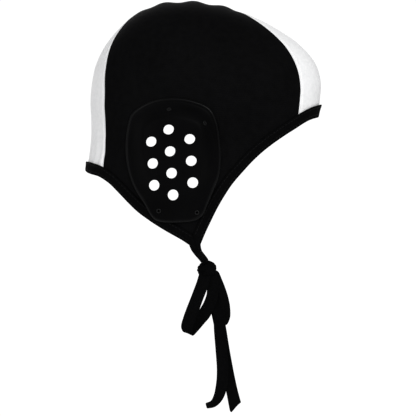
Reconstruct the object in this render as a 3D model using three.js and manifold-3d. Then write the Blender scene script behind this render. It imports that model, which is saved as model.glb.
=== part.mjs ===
// A swimmer's ball-game cap: two dark side panels, pale tapering panels at the forehead and the nape,
// taped edges, a pierced ear guard on each side, and ties that meet in a bow under the chin.
// Millimetres. +X is the forehead, -Y the wearer's right ear, +Z the crown.
// The origin is the top of the head, inside the crown.
import * as THREE from "three";
import { mergeVertices } from "three/addons/utils/BufferGeometryUtils.js";
import Module from "manifold-3d";

// Head form, measured from the ear line, which runs through both ear poles
const crownHeight = 102;
const frontReach = 112.7;
const backReach = 85.7;
const capWidth = 154;
const cheekDepth = 150;
const fullness = 2.2;
const fullnessRiseShare = 0.2;
const puckerHeight = 0.9;
const puckerPitchDegrees = 14.5;
const puckerMiddleDegrees = 88;
const puckerSpreadDegrees = 32;
const puckerFadeShare = 0.35;

// Cloth, tape and seams
const wall = 1.5;
const tape = 0.8;
const gap = 0.3;
const bindingWidth = 9.5;
const roomOutside = 0.5;
const roomInside = 0.9;
const foreheadWidth = 88.4;
const napeWidth = 90;
const flapDrop = 111.7;

// Ear guards
const earSetback = 14.2;
const guardFoot = 87.9;
const guardLength = 107;
const guardWidth = 83;
const guardWall = 2.2;
const guardSeat = 0.38;
const domeHeight = 14;
const domeShoulder = 15;
const lipWidth = 3;
const holeDiameter = 9.5;
const holePitch = 18.8;
const sideHoles = 3;
const middleHoles = 4;
const rearColumn = 15.6;
const frontColumn = 17.6;
const holeTiltDegrees = 3.9;
const domeFootShare = 0.4;
const domeRiseShare = 0.42;
const tapeRamp = 9;
const tapeMargin = 1;
const openingWidth = 58;
const openingLength = 76;
const openingRound = 2.5;
const openingAhead = -16.5;
const openingHeight = -35.8;

// Eyelets that fix the guards
const eyeletDiameter = 4.3;
const barrelDiameter = 2.6;
const rolledDiameter = 3.6;
const boreDiameter = 1.6;
const eyeletFlange = 0.5;
const eyeletGap = 0.9;
const eyeletReach = 3;

// Ties and bow
const tieWidth = 10;
const tieThickness = 1;
const knotLength = 16.4;
const knotWidth = 15.5;
const knotHeight = 16.2;

// How finely the curved forms are cut
const seamSteps = 15;
const rimSteps = 12;
const crownSteps = 9;
const goreColumns = 11;
const bindingSteps = 30;
const guardSteps = 36;
const ribbonSteps = 2;
const roundSides = 6;
const holeSides = 10;
const knotSides = 10;
const outlineSamples = 240;
const rimSamples = 60;
const panelRows = [0, 0.25, 0.5, 0.74, 0.92, 1];
const guardRows = [0, 0.45, 0.64, 0.75, 0.85, 0.94, 1];

// Side outline of the head form: along the reach to the front or back, up the crown or down the cheek
const outline = [
  [0.971, 0.025],
  [0.995, 0.211],
  [1.0, 0.295],
  [0.986, 0.396],
  [0.952, 0.491],
  [0.831, 0.643],
  [0.685, 0.757],
  [0.537, 0.848],
  [0.385, 0.916],
  [0.234, 0.963],
  [0.079, 0.994],
  [-0.21, 0.992],
  [-0.412, 0.951],
  [-0.593, 0.864],
  [-0.744, 0.746],
  [-0.865, 0.61],
  [-0.947, 0.46],
  [-0.986, 0.302],
  [-0.999, 0.148],
  [-0.991, 0.0],
  [-0.991, -0.1],
  [-1.008, -0.21],
  [-1.037, -0.289],
  [-0.937, -0.639],
  [0.0, -1.0],
  [0.74, -0.556],
  [0.901, -0.246],
];

// Lower edge from the midline to the flap's tip: along the front or back reach, down the flap's drop
const frontRimShape = [
  [0.984, -0.023],
  [0.901, 0.0],
  [0.778, 0.077],
  [0.664, 0.154],
  [0.564, 0.231],
  [0.481, 0.308],
  [0.397, 0.4],
  [0.32, 0.492],
  [0.259, 0.585],
  [0.206, 0.678],
  [0.161, 0.77],
  [0.118, 0.862],
  [0.08, 0.954],
  [0.061, 1.0],
];
const backRimShape = [
  [-1.064, 0.4],
  [-0.943, 0.423],
  [-0.873, 0.447],
  [-0.792, 0.492],
  [-0.702, 0.562],
  [-0.617, 0.631],
  [-0.522, 0.701],
  [-0.401, 0.77],
  [-0.261, 0.839],
  [-0.1, 0.909],
  [-0.01, 0.954],
  [0.08, 1.0],
];

// Seams beside the pale panels: angle up from the forehead, half width as a share of the panel's own
const foreheadSeam = [
  [3, 1.01],
  [10, 1.035],
  [17, 1.04],
  [24, 1.01],
  [31, 0.926],
  [38, 0.817],
  [45, 0.697],
  [52, 0.578],
  [58, 0.448],
  [62.5, 0.291],
  [65.5, 0.146],
  [67, 0.026],
];
const napeSeam = [
  [203, 0.98],
  [193, 0.96],
  [183, 0.96],
  [173, 0.97],
  [163, 0.975],
  [154, 0.92],
  [146, 0.83],
  [139, 0.69],
  [132, 0.51],
  [126, 0.35],
  [121.5, 0.17],
  [119.5, 0.025],
];

// Outline of the ear guard: across and up, as shares of half its width and half its length
const guardShape = [
  [0.99, 0.04],
  [0.955, -0.24],
  [0.88, -0.4],
  [0.69, -0.75],
  [0.62, -0.87],
  [0.46, -0.965],
  [0.08, -1.0],
  [-0.28, -0.985],
  [-0.42, -0.93],
  [-0.6, -0.7],
  [-0.8, -0.45],
  [-0.94, -0.15],
  [-0.99, 0.22],
  [-0.94, 0.56],
  [-0.86, 0.74],
  [-0.66, 0.87],
  [-0.38, 0.965],
  [0.04, 1.0],
  [0.44, 0.95],
  [0.76, 0.83],
  [0.9, 0.62],
  [0.97, 0.3],
];

// Eyelets: across and up, as shares of half the guard's width and length, and whether they hold the cap
const eyelets = [
  ["crown", -0.085, 0.81, false],
  ["brow", 0.645, 0.59, false],
  ["nape", -0.3, -0.81, true],
  ["cheek", 0.49, -0.835, true],
];

// Ties and bow, from the middle of the ear line. Columns: x, y, z, turn of the tape's flat side, tilt,
// and, where the tape is gathered or spread, the share of its width
const tieRoute = [
  [3.4, -52.7, -99.0, 0, 0, 1],
  [4.0, -49.8, -104.8, 0, 0, 1],
  [5.2, -46.6, -109.9, 0, 8, 0.86],
  [6.9, -41.6, -113.4, 0, 18, 0.72],
  [8.4, -35.0, -115.4, 0, 26, 0.68],
  [10.1, -26.6, -117.4, 0, 29, 0.66],
  [11.5, -18.0, -119.2, 0, 29, 0.66],
  [12.7, -10.5, -120.9, 0, 29, 0.66],
  [13.4, -4.2, -123.4, 0, 29, 0.66],
];
const rearLoopRoute = [
  [13.4, -4.0, -130.0, 0, 0, 1],
  [11.2, -7.0, -139.0, 0, 0, 1.06],
  [7.8, -10.2, -148.1, 0, 0, 1.06],
  [5.0, -12.8, -155.4, 0, 0, 1.06],
  [2.4, -15.0, -162.6, 0, -4, 1.1],
  [-0.4, -16.4, -170.2, 0, -10, 1.08],
  [-2.7, -15.4, -178.0, 0, -18, 1],
  [-1.0, -12.2, -182.6, 0, -24, 0.86],
  [2.8, -9.6, -178.4, 0, -28, 0.94],
  [7.8, -8.4, -171.9, 0, -20, 1.02],
  [12.7, -7.4, -165.6, 0, -10, 1.08],
  [17.0, -6.4, -157.0, 0, 0, 1],
  [19.4, -5.4, -149.0, 0, 0, 1],
  [19.0, -4.2, -139.5, 0, 0, 1],
  [17.0, -3.0, -131.4, 0, 0, 1],
];
const frontLoopRoute = [
  [19.4, 4.2, -129.0, 30, 0],
  [23.8, 6.8, -137.0, 42, 0],
  [27.4, 8.4, -145.6, 45, 0],
  [29.8, 9.4, -153.4, 45, 0],
  [31.2, 10.2, -161.2, 45, 0],
  [31.1, 11.4, -169.8, 45, 0],
  [27.9, 14.2, -175.8, 45, 0],
  [24.2, 16.6, -168.8, 45, 0],
  [22.2, 15.8, -155.4, 45, 0],
  [19.8, 12.6, -142.6, 42, 0],
  [16.2, 6.2, -131.6, 30, 0],
];
const rearEndRoute = [
  [16.6, -0.8, -132.0, 0, 0],
  [21.0, -1.8, -150.0, 0, 0],
  [24.7, -2.2, -165.1, 0, 0],
  [25.7, -2.4, -181.5, 0, 0],
  [27.0, -2.6, -197.8, 4, 0],
  [28.0, -3.0, -215.0, 8, 0],
  [27.2, -3.4, -227.0, 12, -8],
  [24.3, -3.7, -237.4, 34, -20],
  [20.0, -3.9, -243.0, 62, -28],
  [13.8, -4.0, -245.0, 80, -26],
];
const frontEndRoute = [
  [17.6, 1.4, -132.0, 0, 0, 1],
  [21.2, 1.6, -154.8, 0, 0, 1],
  [25.8, 1.8, -177.2, 0, 0, 1],
  [29.2, 2.2, -197.8, 0, 0, 1],
  [33.2, 2.8, -219.3, 0, 0, 1],
  [36.2, 3.2, -233.1, 0, 0, 1],
  [39.3, 3.4, -246.8, 0, 0, 1.1],
];
const frontEndCut = 3.2;
const knotPlace = [14.8, 0, -128.6];

// Colours and finishes
const black = 0x0b0b0d;
const materials = {
  darkCloth: new THREE.MeshStandardMaterial({ color: black, roughness: 0.75, metalness: 0 }),
  paleCloth: new THREE.MeshStandardMaterial({ color: 0xe9e9ea, roughness: 0.7, metalness: 0 }),
  tape: new THREE.MeshStandardMaterial({ color: black, roughness: 0.9, metalness: 0 }),
  plastic: new THREE.MeshStandardMaterial({ color: 0x08080a, roughness: 0.35, metalness: 0 }),
};

const quarter = Math.PI / 2;
const toRadians = THREE.MathUtils.degToRad;
const halfWidth = capWidth / 2;
const earLineZ = wall - crownHeight;
const earDrop = guardFoot - guardLength / 2;
const chartStep = 1e-3;
const slopeStep = 0.5;
const mergeDistance = 1e-4;
const placeError = 1e-5;
const seamReachShare = 0.55;
const pointClearanceDegrees = 0.6;
const mitreMarginShare = 1.08;
const columnTurnRadians = 1.1;
const turningAxis = new THREE.Vector3(0, 1, 0);
const wasm = await Module();
wasm.setup();

function smooth(share) {
  const t = Math.min(1, Math.max(0, share));
  return t * t * (3 - 2 * t);
}

// The head form's reach round the ear line, a smooth closed curve through the outline's rows
const reachRows = outline
  .map(([along, up]) => [
    along * (along > 0 ? frontReach : backReach),
    up * (up > 0 ? crownHeight : cheekDepth),
  ])
  .map(([x, height]) => ({ angle: Math.atan2(height, x), reach: Math.hypot(x, height) }))
  .sort((a, b) => a.angle - b.angle);

function reachRow(index) {
  const count = reachRows.length;
  const turns = Math.floor(index / count);
  const row = reachRows[index - turns * count];
  return { angle: row.angle + turns * 2 * Math.PI, reach: row.reach };
}

function reachAt(theta) {
  let i = -1;
  while (reachRow(i + 1).angle <= theta) i += 1;
  const [before, from, to, after] = [-1, 0, 1, 2].map((k) => reachRow(i + k));
  const span = to.angle - from.angle;
  const slopeIn = ((to.reach - before.reach) / (to.angle - before.angle)) * span;
  const slopeOut = ((after.reach - from.reach) / (after.angle - from.angle)) * span;
  const t = (theta - from.angle) / span;
  return (
    from.reach * (2 * t ** 3 - 3 * t ** 2 + 1) +
    slopeIn * (t ** 3 - 2 * t ** 2 + t) +
    to.reach * (3 * t ** 2 - 2 * t ** 3) +
    slopeOut * (t ** 3 - t ** 2)
  );
}

function fullnessAt(theta) {
  return fullness + fullnessRiseShare * Math.sin(theta);
}

// Small gathers along the crown's middle seam, which fade out down each side
function puckerAt(theta, outShare) {
  const turned = THREE.MathUtils.radToDeg(theta) - puckerMiddleDegrees;
  const spread = smooth((puckerSpreadDegrees - Math.abs(turned)) / puckerPitchDegrees);
  const fade = smooth(1 - Math.abs(outShare) / puckerFadeShare);
  return puckerHeight * Math.cos((2 * Math.PI * turned) / puckerPitchDegrees) * spread * fade;
}

// A point of the cap's outer face. Its chart is a disc: the right ear's pole is the centre, the
// midline is the unit circle, and the left side lies outside that circle.
function facePoint(u, v) {
  const theta = Math.atan2(v, u);
  const phi = Math.hypot(u, v) * quarter;
  const p = fullnessAt(theta);
  const across = Math.sin(phi);
  const out = Math.cos(phi);
  const scale = (Math.abs(across) ** p + Math.abs(out) ** p) ** (-1 / p);
  const radius = (reachAt(theta) + puckerAt(theta, scale * out)) * scale * across;
  return new THREE.Vector3(
    radius * Math.cos(theta),
    -halfWidth * scale * out,
    earLineZ + radius * Math.sin(theta),
  );
}

function faceNormal(q) {
  const along = facePoint(q.x + chartStep, q.y).sub(facePoint(q.x - chartStep, q.y));
  const up = facePoint(q.x, q.y + chartStep).sub(facePoint(q.x, q.y - chartStep));
  return along.cross(up).normalize();
}

function onCap(q, lift = 0) {
  return facePoint(q.x, q.y).addScaledVector(faceNormal(q), lift);
}

// The chart's point for a place given by its distance ahead, out to the right, and up from the ear line
function chartOf(ahead, out, height) {
  const theta = Math.atan2(height, ahead);
  const phi = Math.atan2(Math.hypot(ahead, height) / reachAt(theta), out / halfWidth);
  return new THREE.Vector2(Math.cos(theta), Math.sin(theta)).multiplyScalar(phi / quarter);
}

// How far out the head form is at a place seen from the side
function outAt(ahead, height) {
  const theta = Math.atan2(height, ahead);
  const p = fullnessAt(theta);
  const share = Math.min(1, Math.hypot(ahead, height) / reachAt(theta));
  return halfWidth * (1 - share ** p) ** (1 / p);
}

// The chart's point at an angle round the ear line and a distance out from the midline
function chartAcross(theta, out) {
  const p = fullnessAt(theta);
  const radius = reachAt(theta) * (1 - (Math.abs(out) / halfWidth) ** p) ** (1 / p);
  return chartOf(radius * Math.cos(theta), out, radius * Math.sin(theta));
}

// The chart's point reached by a short walk over the face in a direction
function walk(q, direction, distance) {
  const point = onCap(q).addScaledVector(direction, distance);
  return chartOf(point.x, -point.y, point.z - earLineZ);
}

// A row of numbers at a place between the rows of a table, on a smooth curve through them
function between(rows, share) {
  const place = share * (rows.length - 1);
  const i = Math.min(rows.length - 2, Math.floor(place));
  const pick = (k) => rows[Math.min(rows.length - 1, Math.max(0, i + k))];
  const t = place - i;
  return rows[i].map((_, column) => {
    const [before, from, to, after] = [-1, 0, 1, 2].map((k) => pick(k)[column]);
    const slopeIn = (to - before) / 2;
    const slopeOut = (after - from) / 2;
    return (
      from * (2 * t ** 3 - 3 * t ** 2 + 1) +
      slopeIn * (t ** 3 - 2 * t ** 2 + t) +
      to * (3 * t ** 2 - 2 * t ** 3) +
      slopeOut * (t ** 3 - t ** 2)
    );
  });
}

// Closes a list of triangle corners into one solid that faces out
function closed(geometry) {
  const bare = new THREE.BufferGeometry().setAttribute("position", geometry.getAttribute("position"));
  bare.setIndex(geometry.index);
  const merged = mergeVertices(bare, mergeDistance);
  const corners = merged.getIndex().array;
  const kept = [];
  for (let i = 0; i < corners.length; i += 3) {
    const [a, b, c] = corners.slice(i, i + 3);
    if (a !== b && b !== c && c !== a) kept.push(a, b, c);
  }
  const position = merged.getAttribute("position");
  const [p, q, r] = [new THREE.Vector3(), new THREE.Vector3(), new THREE.Vector3()];
  let volume = 0;
  for (let i = 0; i < kept.length; i += 3) {
    p.fromBufferAttribute(position, kept[i]);
    q.fromBufferAttribute(position, kept[i + 1]);
    r.fromBufferAttribute(position, kept[i + 2]);
    volume += p.dot(q.cross(r));
  }
  if (volume < 0) kept.reverse();
  return merged.setIndex(kept);
}

// A solid wall between two matching grids of points; a ring's rows close on themselves
function shell(outer, inner, ring) {
  const corners = [];
  const quad = (a, b, c, d) => corners.push(a, b, c, a, c, d);
  const columns = outer[0].length;
  const spans = ring ? columns : columns - 1;
  const end = outer.length - 1;
  for (let j = 0; j < spans; j += 1) {
    const n = (j + 1) % columns;
    for (let i = 0; i < end; i += 1) {
      quad(outer[i][j], outer[i + 1][j], outer[i + 1][n], outer[i][n]);
      quad(inner[i][j], inner[i][n], inner[i + 1][n], inner[i + 1][j]);
    }
    quad(outer[0][j], outer[0][n], inner[0][n], inner[0][j]);
    quad(outer[end][j], inner[end][j], inner[end][n], outer[end][n]);
  }
  for (let i = 0; i < (ring ? 0 : end); i += 1) {
    const last = columns - 1;
    quad(outer[i][0], inner[i][0], inner[i + 1][0], outer[i + 1][0]);
    quad(outer[i][last], outer[i + 1][last], inner[i + 1][last], inner[i][last]);
  }
  return closed(new THREE.BufferGeometry().setFromPoints(corners));
}

// Booleans on closed geometries
function toSolid(geometry) {
  const triVerts = new Uint32Array(geometry.getIndex().array);
  const vertProperties = new Float32Array(geometry.getAttribute("position").array);
  return new wasm.Manifold(new wasm.Mesh({ numProp: 3, vertProperties, triVerts }));
}

function cut(geometry, tools) {
  const left = tools.reduce((solid, tool) => solid.subtract(toSolid(tool)), toSolid(geometry));
  const { vertProperties, triVerts } = left.getMesh();
  const made = new THREE.BufferGeometry();
  made.setAttribute("position", new THREE.BufferAttribute(vertProperties, 3));
  return made.setIndex(new THREE.BufferAttribute(triVerts, 1));
}

function mirrored(geometry) {
  return closed(geometry.clone().applyMatrix4(new THREE.Matrix4().makeScale(1, -1, 1)));
}

// The cap's two lower edges, each one curve from the left flap's tip over the midline to the right's
function rimOf(shape, reach, turn) {
  const right = shape.map(([along, drop]) => {
    const [ahead, height] = [along * reach, -drop * flapDrop];
    return new THREE.Vector3(ahead, -outAt(ahead, height), height);
  });
  right[0].y = 0;
  const left = right.slice(1).map((point) => new THREE.Vector3(point.x, -point.y, point.z));
  left.reverse();
  return { curve: new THREE.CatmullRomCurve3([...left, ...right]), turn };
}

const frontRim = rimOf(frontRimShape, frontReach, 1);
const backRim = rimOf(backRimShape, backReach, -1);

// A rim's place runs from -1 at the left tip to 1 at the right tip
function rimChart(rim, place) {
  const point = rim.curve.getPointAt((1 + place) / 2);
  return chartOf(point.x, -point.y, point.z);
}

function rimDirection(rim, place) {
  const ahead = onCap(rimChart(rim, Math.min(1, place + chartStep)));
  return ahead.sub(onCap(rimChart(rim, Math.max(-1, place - chartStep)))).normalize();
}

// Both edges end on the line that halves the corner at a flap's tip
function tipFrame(rim, side) {
  const away = rimDirection(rim, side).multiplyScalar(-side);
  const other = rimDirection(rim === frontRim ? backRim : frontRim, side).multiplyScalar(-side);
  const inward = away.clone().add(other).normalize();
  return { inward, away, stretch: 1 / away.clone().cross(inward).length() };
}

// The chart's point a distance in from the rim's fold
function insideRim(rim, place, distance, clearance = 0) {
  const q = rimChart(rim, place);
  if (Math.abs(place) < 1) {
    const inward = rimDirection(rim, place).cross(faceNormal(q)).multiplyScalar(rim.turn);
    return walk(q, inward.normalize(), distance);
  }
  const { inward, away, stretch } = tipFrame(rim, place);
  return walk(walk(q, inward, distance * stretch), away, clearance * stretch);
}

function panelEdge(rim, place) {
  return insideRim(rim, place, tape + gap);
}

// The place on a rim where the panel's edge is a given distance out from the midline
function rimPlace(rim, out) {
  let [low, high] = [-seamReachShare, seamReachShare];
  while (high - low > placeError) {
    const middle = (low + high) / 2;
    if (-onCap(panelEdge(rim, middle)).y < out) low = middle;
    else high = middle;
  }
  return (low + high) / 2;
}

// The seam between a side panel and a pale panel: its angle and half width from the rim to the point
function seamOf(rows, halfSpan, rim) {
  const start = onCap(panelEdge(rim, rimPlace(rim, halfSpan)));
  let angle = Math.atan2(start.z - earLineZ, start.x);
  if (rim === backRim && angle < 0) angle += 2 * Math.PI;
  return [[angle, halfSpan], ...rows.map(([turn, share]) => [toRadians(turn), share * halfSpan])];
}

const foreheadRows = seamOf(foreheadSeam, foreheadWidth / 2, frontRim);
const napeRows = seamOf(napeSeam, napeWidth / 2, backRim);

function seamChart(rows, share, clearance) {
  const [angle, half] = between(rows, share);
  return chartAcross(angle, half + clearance);
}

function evenly(count, from, to) {
  return Array.from({ length: count }, (_, i) => THREE.MathUtils.lerp(from, to, i / (count - 1)));
}

// A pale panel, from the rim up to its point between the side panels
function palePanel(rows, rim) {
  const rimHalf = rows[0][1];
  const grid = evenly(seamSteps, 0, 1).map((share) => {
    const [angle, half] = between(rows, share);
    return evenly(goreColumns, -columnTurnRadians, columnTurnRadians).map((turn) => {
      const across = Math.sin(turn) / Math.sin(columnTurnRadians);
      const foot = onCap(panelEdge(rim, rimPlace(rim, across * (rimHalf - gap / 2))));
      const turned = Math.atan2(foot.z - earLineZ, foot.x);
      const footAngle = rim === backRim && turned < 0 ? turned + 2 * Math.PI : turned;
      const theta = angle + (1 - share) * (footAngle - rows[0][0]);
      return chartAcross(theta, across * (half - gap / 2));
    });
  });
  return shell(
    grid.map((row) => row.map((q) => onCap(q))),
    grid.map((row) => row.map((q) => onCap(q, -wall))),
    false,
  );
}

// The place of the ear opening's edge in a direction seen from the side
function openingEdge(direction) {
  const [a, b] = [openingWidth / 2, openingLength / 2];
  const [across, up] = [Math.cos(direction), Math.sin(direction)];
  const powers = Math.abs(across / a) ** openingRound + Math.abs(up / b) ** openingRound;
  const radius = powers ** (-1 / openingRound);
  const [ahead, height] = [openingAhead + radius * across, openingHeight + radius * up];
  return chartOf(ahead, outAt(ahead, height), height);
}

// A side panel, between the crown's middle seam, both pale panels and the rim, round the ear opening
function sidePanel() {
  const [front, back] = [foreheadRows, napeRows];
  const [frontPoint, backPoint] = [front, back].map((rows) => rows[rows.length - 1][0]);
  const clear = toRadians(pointClearanceDegrees);
  const crown = evenly(crownSteps, frontPoint + clear, backPoint - clear);
  const frontFoot = rimPlace(frontRim, front[0][1] + gap / 2);
  const backFoot = rimPlace(backRim, back[0][1] + gap / 2);
  const edge = [
    ...crown.map((angle) => chartAcross(angle, gap / 2)),
    ...evenly(seamSteps, 1, 0).map((share) => seamChart(back, share, gap / 2)),
    ...evenly(rimSteps, backFoot, 1).slice(1).map((place) => panelEdge(backRim, place)),
    ...evenly(rimSteps, 1, frontFoot).slice(1).map((place) => panelEdge(frontRim, place)),
    ...evenly(seamSteps, 0, 1).slice(1).map((share) => seamChart(front, share, gap / 2)),
  ];
  const opening = edge.map((q) => {
    const point = onCap(q);
    return openingEdge(Math.atan2(point.z - earLineZ - openingHeight, point.x - openingAhead));
  });
  const grid = panelRows.map((share) => edge.map((q, i) => opening[i].clone().lerp(q, share)));
  return shell(
    grid.map((row) => row.map((q) => onCap(q))),
    grid.map((row) => row.map((q) => onCap(q, -wall))),
    true,
  );
}

// The tape folded over an edge: two legs and the fold, as distance in from the fold and lift
function bindingSection() {
  const half = (bindingWidth + tape) / 2;
  const over = roomOutside + tape;
  const under = -wall - roomInside - tape;
  return [
    [bindingWidth, over],
    [half, over],
    [tape, over],
    [0, 0],
    [0, -wall],
    [tape, under],
    [half, under],
    [bindingWidth, under],
    [bindingWidth, under + tape],
    [half, under + tape],
    [tape, under + tape],
    [tape, over - tape],
    [half, over - tape],
    [bindingWidth, over - tape],
  ];
}

function binding(rim) {
  const { stretch } = tipFrame(rim, 1);
  const mitre = bindingWidth * Math.sqrt(stretch ** 2 - 1);
  const clear = 1 - (mitreMarginShare * 2 * mitre) / rim.curve.getLength();
  const places = [-1, ...evenly(bindingSteps, -clear, clear), 1];
  const rings = places.map((place) =>
    bindingSection().map(([distance, lift]) => onCap(insideRim(rim, place, distance, gap / 2), lift)),
  );
  return foldedTape(rings);
}

// The folded tape through a row of its sections, with flat ends
function foldedTape(rings) {
  const corners = [];
  const count = rings[0].length;
  for (let i = 0; i < rings.length - 1; i += 1) {
    for (let j = 0; j < count; j += 1) {
      const n = (j + 1) % count;
      corners.push(rings[i][j], rings[i + 1][j], rings[i + 1][n]);
      corners.push(rings[i][j], rings[i + 1][n], rings[i][n]);
    }
  }
  const flat = bindingSection().map(([distance, lift]) => new THREE.Vector2(distance, lift));
  for (const [a, b, c] of THREE.ShapeUtils.triangulateShape(flat, [])) {
    const [first, last] = [rings[0], rings[rings.length - 1]];
    corners.push(first[a], first[b], first[c], last[a], last[c], last[b]);
  }
  return closed(new THREE.BufferGeometry().setFromPoints(corners));
}

// The guard's outline, as its radius in each direction from its middle
const guardPoints = new THREE.CatmullRomCurve3(
  guardShape.map(([across, up]) => new THREE.Vector3((across * guardWidth) / 2, (up * guardLength) / 2, 0)),
  true,
).getPoints(outlineSamples);

function guardRadius(direction) {
  const turned = (point) => {
    const angle = Math.atan2(point.y, point.x) - direction;
    return angle - 2 * Math.PI * Math.round(angle / (2 * Math.PI));
  };
  const i = guardPoints.findIndex((point, k) => {
    const next = guardPoints[(k + 1) % guardPoints.length];
    return turned(point) > 0 !== turned(next) > 0 && Math.abs(turned(point) - turned(next)) < quarter;
  });
  const [from, to] = [guardPoints[i], guardPoints[(i + 1) % guardPoints.length]];
  const share = turned(from) / (turned(from) - turned(to));
  return from.clone().lerp(to, share).length();
}

// Points of both lower edges, near which the guard steps up over the tape
const rimPoints = [frontRim, backRim].flatMap((rim) =>
  evenly(rimSamples, 0, 1).map((place) => onCap(rimChart(rim, place))),
);

// The guard's seat and dome over the head form, by place across and up from its middle
function guardLift(across, up) {
  const [ahead, height] = [across - earSetback, up - earDrop];
  const out = outAt(ahead, height);
  const face = new THREE.Vector3(ahead, -out, earLineZ + height);
  const toRim = Math.min(...rimPoints.map((point) => point.distanceTo(face)));
  const nearTape = smooth((bindingWidth + tapeRamp - toRim) / (tapeRamp - tapeMargin));
  const overTape = (tape + roomOutside) * nearTape;
  const toEdge = guardRadius(Math.atan2(up, across)) - Math.hypot(across, up);
  const shoulder = smooth((toEdge - lipWidth) / domeShoulder);
  const chin = smooth((up + guardLength * domeFootShare) / (guardLength * domeRiseShare));
  return { out, seat: guardSeat + overTape, dome: domeHeight * shoulder * chin };
}

function guardPoint(across, up, depth) {
  const { out, seat, dome } = guardLift(across, up);
  return new THREE.Vector3(
    across - earSetback,
    -(out + seat + dome + depth),
    earLineZ + up - earDrop,
  );
}

// The guard's holes: a middle column between two shorter ones, all leaning back
function guardHoles() {
  const lean = toRadians(holeTiltDegrees);
  const columns = [
    [-rearColumn, sideHoles],
    [0, middleHoles],
    [frontColumn, sideHoles],
  ];
  return columns.flatMap(([side, count]) =>
    evenly(count, (1 - count) / 2, (count - 1) / 2).map((row) => {
      const rise = row * holePitch;
      const hole = new THREE.CylinderGeometry(holeDiameter / 2, holeDiameter / 2, capWidth, holeSides);
      hole.translate(
        openingAhead + side * Math.cos(lean) - rise * Math.sin(lean),
        -capWidth,
        earLineZ + openingHeight + side * Math.sin(lean) + rise * Math.cos(lean),
      );
      return closed(hole.translate(0, halfWidth / 2, 0));
    }),
  );
}

// Each eyelet sits square on the guard's outer face
function eyeletSeat([name, acrossShare, upShare, holdsCap]) {
  const [across, up] = [(acrossShare * guardWidth) / 2, (upShare * guardLength) / 2];
  const at = (x, y) => guardPoint(x, y, guardWall);
  const slopeAcross = at(across + slopeStep, up).sub(at(across - slopeStep, up));
  const slopeUp = at(across, up + slopeStep).sub(at(across, up - slopeStep));
  const normal = slopeAcross.cross(slopeUp).normalize();
  const lean = Math.abs(normal.y);
  const { seat } = guardLift(across, up);
  const stack = guardWall * lean + (holdsCap ? seat * lean + wall : 0);
  return { name, holdsCap, stack, normal, place: at(across, up) };
}

const seats = eyelets.map(eyeletSeat);

function eyeletHole({ place, normal, stack }) {
  const radius = barrelDiameter / 2 + gap;
  const hole = new THREE.CylinderGeometry(radius, radius, 2 * (stack + eyeletReach), roundSides);
  hole.applyQuaternion(new THREE.Quaternion().setFromUnitVectors(turningAxis, normal));
  return closed(hole.translate(...place.toArray()));
}

function eyelet(stack) {
  const [head, rolled] = [eyeletDiameter / 2, rolledDiameter / 2];
  const [barrel, bore] = [barrelDiameter / 2, boreDiameter / 2];
  const over = eyeletGap;
  const under = -stack - eyeletGap;
  const profile = [
    [bore, over + eyeletFlange],
    [head, over + eyeletFlange],
    [head, over],
    [barrel, over],
    [barrel, under],
    [rolled, under],
    [rolled, under - eyeletFlange],
    [bore, under - eyeletFlange],
    [bore, over + eyeletFlange],
  ];
  return closed(new THREE.LatheGeometry(profile.map(([r, y]) => new THREE.Vector2(r, y)), roundSides));
}

function earGuard() {
  const grid = (depth) =>
    guardRows.map((share) =>
      Array.from({ length: guardSteps }, (_, i) => {
        const direction = (i / guardSteps) * 2 * Math.PI;
        const radius = share * guardRadius(direction);
        return guardPoint(radius * Math.cos(direction), radius * Math.sin(direction), depth);
      }),
    );
  return cut(shell(grid(guardWall), grid(0), true), [...guardHoles(), ...seats.map(eyeletHole)]);
}

// A flat tape along its route. Its far end is square, or slants by a length along each half.
function ribbon(route, endCut) {
  const curve = new THREE.CatmullRomCurve3(route.map(([x, y, z]) => new THREE.Vector3(x, y, z)));
  const rows = evenly((route.length - 1) * ribbonSteps + 1, 0, 1).map((share) => {
    const [turnDegrees, tiltDegrees, widthShare = 1] = between(route, share).slice(3);
    const [turn, tilt] = [turnDegrees, tiltDegrees].map(toRadians);
    const centre = curve.getPoint(share);
    const along = curve.getTangent(share);
    const level = new THREE.Vector3(Math.cos(turn), Math.sin(turn), 0).multiplyScalar(Math.cos(tilt));
    const spread = level.setZ(Math.sin(tilt));
    spread.addScaledVector(along, -spread.dot(along)).setLength((widthShare * tieWidth) / 2);
    const face = along.clone().cross(spread).setLength(tieThickness / 2);
    if (share === 1) spread.addScaledVector(along, -endCut);
    return { centre, spread, face };
  });
  const side = (sign) =>
    rows.map(({ centre, spread, face }) =>
      [-1, 1].map((edge) => centre.clone().addScaledVector(spread, edge).addScaledVector(face, sign)),
    );
  return shell(side(1), side(-1), false);
}

function knot(clearance) {
  const ball = new THREE.SphereGeometry(1, knotSides, knotSides / 2 + 1);
  ball.scale(knotLength / 2 + clearance, knotWidth / 2 + clearance, knotHeight / 2 + clearance);
  return closed(ball.translate(...knotPlace));
}

function tieInto(route, endCut = 0) {
  return cut(ribbon(route, endCut), [knot(gap)]);
}

const cap = new THREE.Group();
function add(name, geometry, material, parent = cap) {
  const mesh = new THREE.Mesh(geometry, material);
  mesh.name = name;
  parent.add(mesh);
  return mesh;
}

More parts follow.
